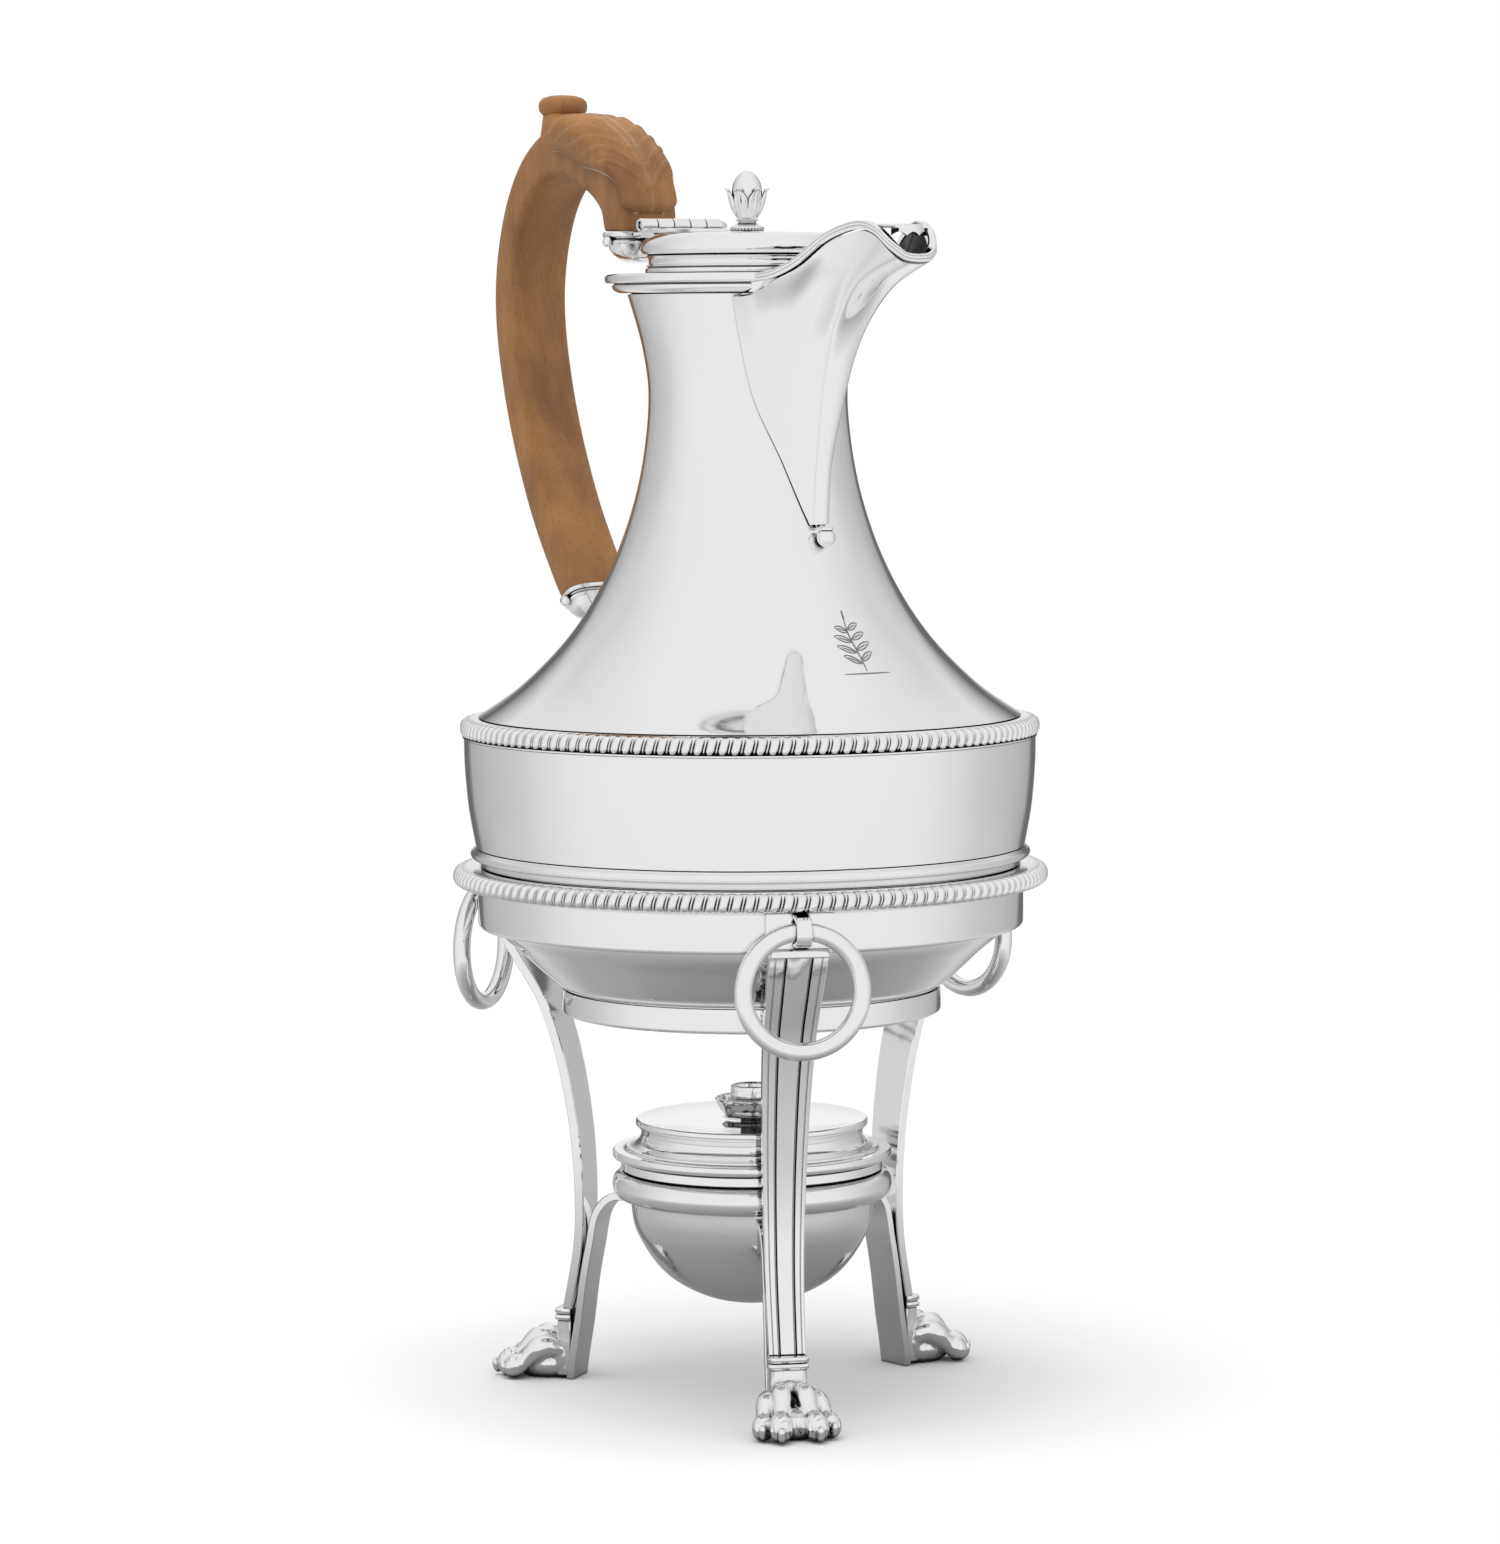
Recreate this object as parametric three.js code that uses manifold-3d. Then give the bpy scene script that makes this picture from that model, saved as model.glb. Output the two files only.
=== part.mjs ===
// Coffee jug with its lid and wooden handle, on a three-legged stand that holds a spirit lamp.
// Millimetres, +Z up, standing on z = 0. The jug's axis is built at x = y = 0, spout towards +X and
// handle towards -X, and the last lines move everything so that the middle of its box is the origin.
import * as THREE from 'three';
import { mergeVertices } from 'three/addons/utils/BufferGeometryUtils.js';
import Module from 'manifold-3d';

const wasm = await Module();
wasm.setup();

// Common to all parts
const GAP = 0.3; // left between faces that are soldered together or rest on each other
const WALL = 1.2; // raised sheet silver
const ROUND = 32; // sides of the large turned parts
const SMALL_ROUND = 24; // sides of the lid and the lamp

// Jug: heights above the table and outer radii
const NECK_TOP = 270.7;
const NECK_FOOT = 168;
const DRUM_TOP = 162.8;
const DRUM_RADIUS = 70.2;
const DRUM_LEDGE = 136.2; // the drum steps in here, above its moulding
const PLUG_RADIUS = 63.5; // the part of the drum that drops into the stand
const FOOT_RIM_TOP = 100.9;
const FOOT_RIM_RADIUS = 46.8;
const FLANGE_TOP = 275.6;
const FLANGE_RADIUS = 34.8;
const MOUTH_RADIUS = 23;

// Spout: its lip is a strap that leaves the flange, rises beside the lid and dips at the tip
const SPOUT_WALL = 1;
const LIP_HALF = 1; // half the strap's width and height
const LIP_LIFT = 1.45; // strap's centre above the edge of the spout's wall
const DROP_RADIUS = 2.3;

// Lid, hinge and finial
const LID_TOP = 285.7;
const LID_RADIUS = 26.2;
const HINGE_X = -30;
const HINGE_Z = 288;
const KNUCKLE_RADIUS = 1.7;
const KNUCKLES = 5;
const HINGE_LENGTH = 24;
const HINGE_PIN_RADIUS = 0.6;

// Handle
const HANDLE_HALF_WIDTH = 8.8;
const TENON_SCALE = 0.78;
const TENON_LENGTH = 5;
const PIN_RADIUS = 0.9;

// Stand
const LEG_AZIMUTHS = [-24.3, 95.7, 215.7]; // degrees from the spout, anticlockwise from above
const COLLAR_RADIUS = 67.1;
const COLLAR_BORE = 65;
const COLLAR_TOP = 126.4;
const STAND_RIM_TOP = 131.3;
const STAND_RIM_RADIUS = 73.2;
const RING_PIVOT_RADIUS = 71.5; // drop ring's wire, centre line, from the axis
const RING_PIVOT_Z = 122.3;
const RING_RADIUS = 14.1;
const RING_WIRE = 2.15;
const LUG_WIDTH = 3.7;
const LUG_WALL = 1.2;
const LEG_TOP = 115.9;
const LEG_FOOT = 18.3;
const LEG_THICKNESS = 2.4;
const SHIN_WIDTH = 8.9;
const BRACKET_WIDTH = 9.6;

// Lamp
const LAMP_RING_TOP = 55.4;
const LAMP_DISC_TOP = 68.2;
const LAMP_BOWL_BOTTOM = 21.7;
const WICK_RADIUS = 1.5;

const silver = { color: 0xdcdcd9, roughness: 0.12, metalness: 1 };
const castSilver = { color: 0xcfcfcb, roughness: 0.25, metalness: 1 };
const boxwood = { color: 0x9a6b3f, roughness: 0.55, metalness: 0 };
const cotton = { color: 0xe6dfcc, roughness: 0.95, metalness: 0 };

// ---------------------------------------------------------------- making solids

// Shares the vertices of a geometry, drops its slivers and turns its faces outwards.
function closed(geometry) {
  const bare = new THREE.BufferGeometry();
  bare.setAttribute('position', geometry.getAttribute('position'));
  if (geometry.index) bare.setIndex(geometry.index);
  const merged = mergeVertices(bare, 1e-4);
  const position = merged.getAttribute('position');
  const corner = (i) => new THREE.Vector3().fromBufferAttribute(position, i);
  const faces = [];
  let volume = 0;
  for (let i = 0; i < merged.index.count; i += 3) {
    const [a, b, c] = merged.index.array.slice(i, i + 3);
    if (a === b || b === c || c === a) continue;
    faces.push(a, b, c);
    volume += corner(a).dot(corner(b).cross(corner(c)));
  }
  merged.setIndex(volume < 0 ? faces.reverse() : faces);
  return merged;
}

// A solid of revolution about Z. The profile is [radius, height] points, from axis to axis.
function turned(profile, sides = ROUND) {
  const points = profile.map(([r, z]) => new THREE.Vector2(r, z));
  return closed(new THREE.LatheGeometry(points, sides).rotateX(Math.PI / 2));
}

// A ring about Z: the profile closes on itself.
const ring = (profile, sides = ROUND) => turned([...profile, profile[0]], sides);

// A smooth run of [radius, height] points through the given ones.
function through(points, steps) {
  const spline = new THREE.SplineCurve(points.map(([r, z]) => new THREE.Vector2(r, z)));
  return spline.getPoints(steps).map((p) => [p.x, p.y]);
}

// The inner face of a wall whose outer face runs downwards through the given points.
function inside(outer, wall = WALL) {
  return outer.map(([r, z], i) => {
    const before = outer[Math.max(i - 1, 0)];
    const after = outer[Math.min(i + 1, outer.length - 1)];
    const along = new THREE.Vector2(after[0] - before[0], after[1] - before[1]).normalize();
    return [Math.max(r + along.y * wall, 0), z - along.x * wall];
  });
}

// Skins a row of equal sections, each a loop of points, and closes both ends.
function loft(sections) {
  const count = sections[0].length;
  const positions = sections.flat().flatMap((p) => [p.x, p.y, p.z]);
  const faces = [];
  for (let s = 0; s + 1 < sections.length; s += 1) {
    for (let i = 0; i < count; i += 1) {
      const a = s * count + i;
      const b = s * count + ((i + 1) % count);
      faces.push(a, b, b + count, a, b + count, a + count);
    }
  }
  const last = (sections.length - 1) * count;
  for (let i = 1; i + 1 < count; i += 1) {
    faces.push(0, i + 1, i, last, last + i, last + i + 1);
  }
  const geometry = new THREE.BufferGeometry();
  geometry.setAttribute('position', new THREE.Float32BufferAttribute(positions, 3));
  geometry.setIndex(faces);
  return closed(geometry);
}

// A flat outline of [x, z] points, given a thickness along Y and centred on it.
function slab(outline, width, holes = []) {
  const toPoints = (list) => list.map(([x, z]) => new THREE.Vector2(x, z));
  const shape = new THREE.Shape(toPoints(outline));
  shape.holes = holes.map((hole) => new THREE.Path(toPoints(hole)));
  const geometry = new THREE.ExtrudeGeometry(shape, { depth: width, bevelEnabled: false });
  return closed(geometry.rotateX(Math.PI / 2).translate(0, width / 2, 0));
}

// A block between two corners.
function block(low, high) {
  const size = high.map((value, i) => value - low[i]);
  const middle = high.map((value, i) => (value + low[i]) / 2);
  return closed(new THREE.BoxGeometry(...size).translate(...middle));
}

// A round rod along Y.
function rod(x, z, radius, from, to, sides = 12) {
  const geometry = new THREE.CylinderGeometry(radius, radius, to - from, sides);
  return closed(geometry.translate(x, (from + to) / 2, z));
}

// An ellipsoid with the given centre and radii.
function ellipsoid(centre, radii, sides = 10, rows = 6) {
  const geometry = new THREE.SphereGeometry(1, sides, rows).rotateX(Math.PI / 2);
  return closed(geometry.scale(...radii).translate(...centre));
}

// A circle of [x, z] points.
function circle(x, z, radius, sides) {
  return Array.from({ length: sides }, (_, i) => {
    const turn = (2 * Math.PI * i) / sides;
    return [x + radius * Math.cos(turn), z + radius * Math.sin(turn)];
  });
}

function toManifold(geometry) {
  const solid = closed(geometry);
  const vertProperties = new Float32Array(solid.getAttribute('position').array);
  const triVerts = new Uint32Array(solid.index.array);
  return new wasm.Manifold(new wasm.Mesh({ numProp: 3, vertProperties, triVerts }));
}

function fromManifold(solid) {
  const mesh = solid.getMesh();
  const geometry = new THREE.BufferGeometry();
  geometry.setAttribute('position', new THREE.BufferAttribute(mesh.vertProperties, 3));
  geometry.setIndex(new THREE.BufferAttribute(mesh.triVerts, 1));
  return geometry;
}

// Joins the first list of geometries into one and cuts the second list from it.
function joined(parts, cuts = []) {
  let solid = toManifold(parts[0]);
  for (const part of parts.slice(1)) solid = solid.add(toManifold(part));
  for (const cut of cuts) solid = solid.subtract(toManifold(cut));
  return fromManifold(solid);
}

function part(name, geometry, look = silver) {
  const mesh = new THREE.Mesh(geometry, new THREE.MeshStandardMaterial(look));
  mesh.name = name;
  return mesh;
}

// ---------------------------------------------------------------- jug body

const neckOuter = through([
  [29.3, NECK_TOP], [25.6, 257], [24.4, 243.5], [27.1, 224], [33.4, 205.3], [43, 189], [55.3, 176],
  [66.6, NECK_FOOT],
], 11);

// Outer radius of the neck at a height.
function neckRadius(z) {
  const i = Math.min(Math.max(neckOuter.findIndex((p) => p[1] <= z), 1), neckOuter.length - 1);
  const [above, below] = [neckOuter[i - 1], neckOuter[i]];
  return above[0] + ((below[0] - above[0]) * (above[1] - z)) / (above[1] - below[1]);
}

// The neck is pierced behind the spout, so that coffee runs into it and the grounds stay back.
function neck() {
  const innerWall = inside(neckOuter).slice(0, -1);
  innerWall[0] = [29.3 - WALL, NECK_TOP];
  const shell = ring([...neckOuter, [64.1, NECK_FOOT], ...innerWall.reverse()]);
  const places = [
    [0, 238], [0, 246], [0, 254], [-6, 242], [6, 242], [-6, 250], [6, 250], [-6, 258], [6, 258],
  ];
  const holes = places.map(([y, z]) => (
    new THREE.CylinderGeometry(1.7, 1.7, 20, 6).rotateZ(Math.PI / 2).translate(25, y, z)));
  return joined([shell], holes);
}

function drum() {
  const outer = [
    [DRUM_RADIUS, DRUM_TOP], [DRUM_RADIUS - 0.1, 156], [69.4, 148], [67.5, DRUM_LEDGE],
    [64.7, DRUM_LEDGE], [PLUG_RADIUS, 132.4], [PLUG_RADIUS, 119], [61.4, 114.5], [56.6, 110.2],
    [51, 104.6], [47, 101.8], [43.5, 101.2], [20, 102.6], [0, 103.2],
  ];
  const inner = inside(outer);
  inner[0] = [DRUM_RADIUS - WALL, DRUM_TOP];
  inner[inner.length - 1][0] = 0;
  return turned([[0, outer.at(-1)[1]], ...outer.slice(0, -1).reverse(), ...inner]);
}

// The rings that are turned or cast and soldered on.
function shoulderGadroon() {
  return ring([
    [65.9, NECK_FOOT - GAP], [68.4, NECK_FOOT - GAP], [70.2, 167.1], [71.1, 165.8], [71.1, 164.6],
    [70.4, DRUM_TOP + GAP], [65.9, DRUM_TOP + GAP],
  ]);
}

// Its narrow lower step rests above the stand.
function drumMoulding() {
  return ring([
    [COLLAR_BORE, DRUM_LEDGE - GAP], [67.7, DRUM_LEDGE - GAP], [68.6, 135.2], [68.8, 134.2], [68.2, 133.3],
    [66.4, 133], [66.4, STAND_RIM_TOP + GAP], [COLLAR_BORE, STAND_RIM_TOP + GAP],
  ]);
}

function footRim() {
  return ring([
    [FOOT_RIM_RADIUS - 2.3, FOOT_RIM_TOP], [FOOT_RIM_RADIUS - 0.2, FOOT_RIM_TOP], [FOOT_RIM_RADIUS, 96],
    [FOOT_RIM_RADIUS - 0.9, 94.9], [FOOT_RIM_RADIUS - 2.3, 94.9],
  ]);
}

// The flange runs all round under the lid, and its outer part stops at the sides of the spout.
function rimFlange() {
  const under = NECK_TOP + GAP;
  const whole = ring([
    [MOUTH_RADIUS, FLANGE_TOP - 2], [MOUTH_RADIUS, FLANGE_TOP], [FLANGE_RADIUS - 0.5, FLANGE_TOP],
    [FLANGE_RADIUS, FLANGE_TOP - 0.5], [FLANGE_RADIUS, FLANGE_TOP - 2.1], [33.4, FLANGE_TOP - 2.7],
    [32.9, 271.8], [31.6, under], [28, under], [28, FLANGE_TOP - 2],
  ]);
  const spoutSpace = block([10, -19.9, 265], [50, 19.9, 280]);
  const keptRim = new THREE.CylinderGeometry(30.2, 30.2, 20, ROUND).rotateX(Math.PI / 2).translate(0, 0, 272);
  return joined([whole], [joined([spoutSpace], [keptRim])]);
}

// ---------------------------------------------------------------- spout

const vector = ([x, y, z]) => new THREE.Vector3(x, y, z);

// Centre line of the strap on the +Y side, from the tip back to the flange.
const lipCurve = new THREE.CatmullRomCurve3([
  [70.6, 0, 278.3], [70.2, 3.4, 278.8], [68.8, 5.7, 281.2], [64.5, 7.3, 285], [59, 8.7, 286.2],
  [50.3, 11.2, 283.6], [42.4, 14.2, 278.1], [36, 16.6, 275.2], [31, 18, 274.4],
].map(vector));

// Square to the strap and pointing up, at a place along it.
function lipUp(t) {
  const along = lipCurve.getTangent(t);
  const across = along.clone().cross(new THREE.Vector3(0, 0, 1)).normalize();
  return across.cross(along).normalize();
}

// Upper edge of the spout's wall on the +Y side: under the strap, then back under the flange.
const wallEdge = new THREE.CatmullRomCurve3([
  ...[0, 0.125, 0.25, 0.375, 0.5, 0.625, 0.75, 0.875].map((t) =>
    lipCurve.getPoint(t).addScaledVector(lipUp(t), -LIP_LIFT)),
  vector([29.2, 18.4, 270.4]),
  vector([22.4, 19.4, 269.8]),
]);

const noseCurve = new THREE.SplineCurve(
  [[32.2, 215.4], [33.6, 230], [37.8, 245], [42, 256], [48, 264.8], [57, 271.8], [70.5, 276.9]].map(
    ([x, z]) => new THREE.Vector2(x, z)),
);

// Half width and depth of the rounded nose, at the same places as noseCurve's points.
const noseSizes = new THREE.SplineCurve(
  [[2.2, 1.2], [2.2, 1.3], [3.2, 1.7], [4, 2.3], [5, 3.2], [6.3, 4.5], [7, 5]].map(
    ([half, deep]) => new THREE.Vector2(half, deep)),
);

// Where the wall meets the neck: degrees from the spout's middle, and height.
const seamCurve = new THREE.SplineCurve(
  [[4.6, 215.2], [15.5, 230], [30.5, 245], [37.5, 258], [41, 269.8]].map(([a, z]) => new THREE.Vector2(a, z)),
);

// One side of the spout's wall at a level, from its nose back to the neck.
function spoutLevel(up) {
  const nose = noseCurve.getPoint(up);
  const seam = seamCurve.getPoint(up);
  const angle = THREE.MathUtils.degToRad(seam.x);
  const radius = neckRadius(seam.y) + GAP + 0.1;
  const end = vector([radius * Math.cos(angle), radius * Math.sin(angle), seam.y]);
  const size = noseSizes.getPoint(up);
  const round = vector([nose.x, size.x * 1.15, nose.y]);
  const turn = vector([nose.x - size.y * 1.5, size.x * 1.1, nose.y + (end.z - nose.y) * 0.3]);
  return new THREE.CubicBezierCurve3(vector([nose.x, 0, nose.y]), round, turn, end);
}

// A point of the spout's outer face: across = 0 at the nose and 1 at the neck, up = 0 at the drop.
// The upper levels bend into the rising edge of the wall.
function spoutPoint(across, up) {
  const share = Math.max((up - 0.6) / 0.4, 0) ** 2;
  const bend = wallEdge.getPoint(across).sub(spoutLevel(1).getPoint(across));
  return spoutLevel(up).getPoint(across).addScaledVector(bend, share);
}

// A wall whose outer face is a grid of points, with its inner face set back along the normals.
function gridWall(rows, thickness) {
  const count = rows[0].length;
  const at = (i, j) => rows[Math.min(Math.max(i, 0), rows.length - 1)][Math.min(Math.max(j, 0), count - 1)];
  const back = rows.map((row, i) => row.map((point, j) => {
    const alongRow = at(i, j + 1).clone().sub(at(i, j - 1));
    const upwards = at(i + 1, j).clone().sub(at(i - 1, j));
    return point.clone().addScaledVector(alongRow.cross(upwards).normalize(), thickness);
  }));
  const loops = rows.map((row, i) => [...row, ...back[i].slice().reverse()]);
  const positions = loops.flat().flatMap((p) => [p.x, p.y, p.z]);
  const size = 2 * count;
  const faces = [];
  for (let i = 0; i + 1 < loops.length; i += 1) {
    for (let j = 0; j < size; j += 1) {
      const a = i * size + j;
      const b = i * size + ((j + 1) % size);
      faces.push(a, b, b + size, a, b + size, a + size);
    }
  }
  for (const [start, flip] of [[0, true], [(loops.length - 1) * size, false]]) {
    for (let j = 0; j + 1 < count; j += 1) {
      const [a, b] = [start + j, start + j + 1];
      const [c, d] = [start + size - 2 - j, start + size - 1 - j];
      faces.push(...(flip ? [a, c, b, a, d, c] : [a, b, c, a, c, d]));
    }
  }
  const geometry = new THREE.BufferGeometry();
  geometry.setAttribute('position', new THREE.Float32BufferAttribute(positions, 3));
  geometry.setIndex(faces);
  return closed(geometry);
}

function spout() {
  const columns = 7;
  const levels = 9;
  const rows = [];
  for (let i = 0; i <= levels; i += 1) {
    const row = [];
    for (let j = -columns; j <= columns; j += 1) {
      const point = spoutPoint(Math.abs(j) / columns, i / levels);
      row.push(vector([point.x, Math.sign(j) * point.y, point.z]));
    }
    rows.push(row);
  }
  return gridWall(rows, SPOUT_WALL);
}

function spoutLip() {
  const steps = 14;
  const sections = [];
  for (let j = -steps; j <= steps; j += 1) {
    const t = Math.abs(j) / steps;
    const side = j < 0 ? -1 : 1;
    const centre = lipCurve.getPoint(t);
    const along = lipCurve.getTangent(t);
    const up = lipUp(t);
    const across = along.clone().cross(up).normalize();
    const corners = [[-1, -0.6], [-0.6, -1], [0.6, -1], [1, -0.6], [1, 0.6], [0.6, 1], [-0.6, 1], [-1, 0.6]];
    const loop = corners.map(([a, b]) => {
      const point = centre.clone().addScaledVector(across, a * LIP_HALF).addScaledVector(up, b * LIP_HALF);
      return vector([point.x, side * point.y, point.z]);
    });
    if (j < 0) loop.reverse();
    sections.push(j < 0 ? [...loop.slice(-1), ...loop.slice(0, -1)] : loop);
  }
  return loft(alignedLoops(sections));
}

// Turns each loop so that its first point is the one nearest to the first of the loop before.
function alignedLoops(loops) {
  const result = [loops[0]];
  for (const loop of loops.slice(1)) {
    const target = result.at(-1)[0];
    const distances = loop.map((p) => p.distanceTo(target));
    const first = distances.indexOf(Math.min(...distances));
    result.push([...loop.slice(first), ...loop.slice(0, first)]);
  }
  return result;
}

// A plate over the tip with a front apron, so that the coffee leaves in a narrow stream.
function spoutHood() {
  const [back, front, top, apron] = [57.6, 66.3, 286.3, 284.2];
  const plate = slab([
    [back, top - 1], [front, top - 1], [front, apron], [front + 1, apron], [front + 1, top], [back, top],
  ], 2);
  const position = plate.getAttribute('position');
  for (let i = 0; i < position.count; i += 1) {
    const halfWidth = THREE.MathUtils.mapLinear(position.getX(i), back, front, 7.2, 4.7);
    position.setY(i, Math.sign(position.getY(i)) * Math.max(halfWidth, 4.5));
  }
  return plate;
}

// A ball on the neck just below the nose.
function spoutDrop() {
  const z = 212.3;
  return ellipsoid([neckRadius(z) + DROP_RADIUS + GAP, 0, z], [DROP_RADIUS, DROP_RADIUS, DROP_RADIUS]);
}

// ---------------------------------------------------------------- lid

function lid() {
  return ring([
    [1.5, LID_TOP], [14, LID_TOP], [21, LID_TOP - 0.2], [24.4, LID_TOP - 1.2],
    [LID_RADIUS - 0.2, LID_TOP - 2.9], [LID_RADIUS - 0.1, 281.4], [25.2, 280.2], [24.6, 278.4],
    [24.5, FLANGE_TOP + GAP], [21.6, FLANGE_TOP + GAP],
    [21.6, 272.8], [20.6, 272.8], [20.6, 277], [23.2, 278.2], [24, 281], [23.6, 283.2], [20, LID_TOP - 1.3],
    [1.5, LID_TOP - 1.3],
  ], SMALL_ROUND);
}

const finialBase = () => turned([
  [0, 281], [1.1, 281], [1.1, LID_TOP + GAP], [4.2, LID_TOP + GAP], [4.1, 286.7], [2.3, 287.6], [2.3, 288.3],
  [3, 288.8], [0, 288.8],
], 20);

const finialCalyx = () => turned([
  [0, 289.1], [3.1, 289.1], [4.3, 291.6], [4.8, 295.4], [4.1, 295.4], [3.2, 291.8], [0, 290.2],
], 20);

const finialBud = () => turned([
  [0, 290.6], [2.8, 292], [3.7, 295], [3.4, 297.4], [2, 299.3], [0, 300],
], 20);

function finialNut() {
  const hexagon = new THREE.CylinderGeometry(3, 3, 2, 6).rotateX(Math.PI / 2).translate(0, 0, 283);
  const bore = new THREE.CylinderGeometry(1.4, 1.4, 6, 12).rotateX(Math.PI / 2).translate(0, 0, 283);
  return joined([hexagon], [bore]);
}

// ---------------------------------------------------------------- lid hinge

// Knuckles with the given numbers, each bored for the pin and tied to the leaf by a short block.
function hingeLeaf(numbers, leaf, tieFrom, tieTo) {
  const pitch = HINGE_LENGTH / KNUCKLES;
  const pieces = [leaf];
  for (const number of numbers) {
    const start = -HINGE_LENGTH / 2 + number * pitch + GAP / 2;
    const end = start + pitch - GAP;
    pieces.push(
      rod(HINGE_X, HINGE_Z, KNUCKLE_RADIUS, start, end),
      block([tieFrom, start, HINGE_Z - 1.6], [tieTo, end, HINGE_Z - 0.8]),
    );
  }
  const bore = rod(HINGE_X, HINGE_Z, HINGE_PIN_RADIUS + GAP, -HINGE_LENGTH, HINGE_LENGTH);
  return joined(pieces, [bore]);
}

function hingeLidLeaf() {
  const leafBottom = LID_TOP + GAP;
  const half = HINGE_LENGTH / 2 - GAP;
  const plate = block([HINGE_X + 2.1, -half, leafBottom], [HINGE_X + 12, half, leafBottom + 1.2]);
  return hingeLeaf([0, 2, 4], plate, HINGE_X, HINGE_X + 2.6);
}

function hingeBodyLeaf() {
  const plate = block([-42.2, -6.4, HINGE_Z - 3], [HINGE_X - 2.1, 6.4, HINGE_Z - 0.6]);
  return hingeLeaf([1, 3], plate, HINGE_X - 2.6, HINGE_X);
}

const hingePin = () => rod(HINGE_X, HINGE_Z, HINGE_PIN_RADIUS, -HINGE_LENGTH / 2, HINGE_LENGTH / 2);

// ---------------------------------------------------------------- handle and its sockets

const UPPER_END = [-48, 286.9];
const LOWER_END = [-70.7, 195.5];

const handleCurve = new THREE.SplineCurve(
  [LOWER_END, [-85.4, 218], [-96.4, 244], [-101.1, 269], [-97.2, 289.4], [-87.5, 303], [-73, 308.2],
    [-58.5, 302.8], [-50, 295], UPPER_END].map(([x, z]) => new THREE.Vector2(x, z)),
);

// A rounded-rectangle section across the curve at a point, half sizes in Y and across the curve.
function handleSection(x, z, tangent, halfWidth, halfThickness, corner = 0.35, count = 16) {
  return Array.from({ length: count }, (_, i) => {
    const turn = (2 * Math.PI * (i + 0.5)) / count;
    const [c, s] = [Math.cos(turn), Math.sin(turn)];
    const across = halfThickness * Math.sign(c) * Math.abs(c) ** corner;
    const y = halfWidth * Math.sign(s) * Math.abs(s) ** corner;
    return vector([x + tangent.y * across, y, z - tangent.x * across]);
  });
}

// The loop, with a tenon at each end and a small scroll on its crown.
function handle() {
  const steps = 18;
  const sections = [];
  const tenon = (end, direction, distance) => handleSection(
    end[0] + direction.x * distance, end[1] + direction.y * distance, direction,
    HANDLE_HALF_WIDTH * TENON_SCALE, 3.5);
  const upperWay = new THREE.Vector2(0, -1);
  const intoHandle = lowerWay.clone().negate();
  sections.push(tenon(LOWER_END, intoHandle, -TENON_LENGTH), tenon(LOWER_END, intoHandle, 0.01));
  for (let i = 0; i <= steps; i += 1) {
    const t = i / steps;
    const point = handleCurve.getPoint(t);
    const tangent = i === steps ? upperWay : handleCurve.getTangent(t);
    const swell = Math.exp(-(((t - 0.72) / 0.16) ** 2));
    sections.push(handleSection(point.x, point.y, tangent, HANDLE_HALF_WIDTH, 4.35 + 2.5 * swell));
  }
  sections.push(tenon(UPPER_END, upperWay, -0.01), tenon(UPPER_END, upperWay, TENON_LENGTH));
  const roll = ellipsoid([-84.3, 0, 319.5], [4.9, 6.3, 2.8]);
  const upwards = new THREE.Vector2(0, 1);
  const stalk = loft([
    handleSection(-81, 309, upwards, 7.4, 5.6), handleSection(-83.6, 318.6, upwards, 5.6, 3.2),
  ]);
  const pinHoles = [upperPinPlace, lowerPinPlace].map(([x, z]) => rod(x, z, PIN_RADIUS + GAP, -12, 12));
  return joined([loft(sections), roll, stalk], pinHoles);
}

const PIN_DEPTH = 2.6; // below the shoulder of the wood
const lowerWay = handleCurve.getTangent(0).negate();
const upperPinPlace = [UPPER_END[0], UPPER_END[1] - PIN_DEPTH];
const lowerPinPlace = [LOWER_END[0] + lowerWay.x * PIN_DEPTH, LOWER_END[1] + lowerWay.y * PIN_DEPTH];

// A cup around a tenon, an arm to the jug, and a cross hole for the pin. Each section of the arm is
// x, z, half width, half thickness and slope in degrees.
function socket(end, way, armSections, pinPlace) {
  const cupAt = (distance, halfWidth, halfThickness) => handleSection(
    end[0] + way.x * distance, end[1] + way.y * distance, way, halfWidth, halfThickness, 0.6);
  const cup = loft([
    cupAt(GAP, HANDLE_HALF_WIDTH + 0.7, 5.3), cupAt(2, HANDLE_HALF_WIDTH + 0.5, 5.2),
    cupAt(5, 8.4, 4.9), cupAt(7.2, 5.5, 3.4), cupAt(8, 3, 2.2),
  ]);
  const pocket = loft([-1, TENON_LENGTH + 0.4].map((distance) => handleSection(
    end[0] + way.x * distance, end[1] + way.y * distance, way, HANDLE_HALF_WIDTH * TENON_SCALE + 0.4, 3.9)));
  const arm = loft(armSections.map(([x, z, halfWidth, halfThickness, slope]) => {
    const turn = THREE.MathUtils.degToRad(slope);
    const slopeWay = new THREE.Vector2(Math.cos(turn), Math.sin(turn));
    return handleSection(x, z, slopeWay, halfWidth, halfThickness, 0.7);
  }));
  return joined([cup, arm], [pocket, rod(...pinPlace, PIN_RADIUS + GAP, -12, 12)]);
}

// Its arm leans from the flange to the cup.
const upperSocket = () => socket(UPPER_END, new THREE.Vector2(0, -1), [
  [-32.6, FLANGE_TOP + GAP, 2.3, 1.7, 90], [-34, 278.3, 2.3, 1.7, 120], [-37.5, 280.6, 2.8, 1.7, 150],
  [-46, 281.2, 3.4, 1.7, 180],
], upperPinPlace);

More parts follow.
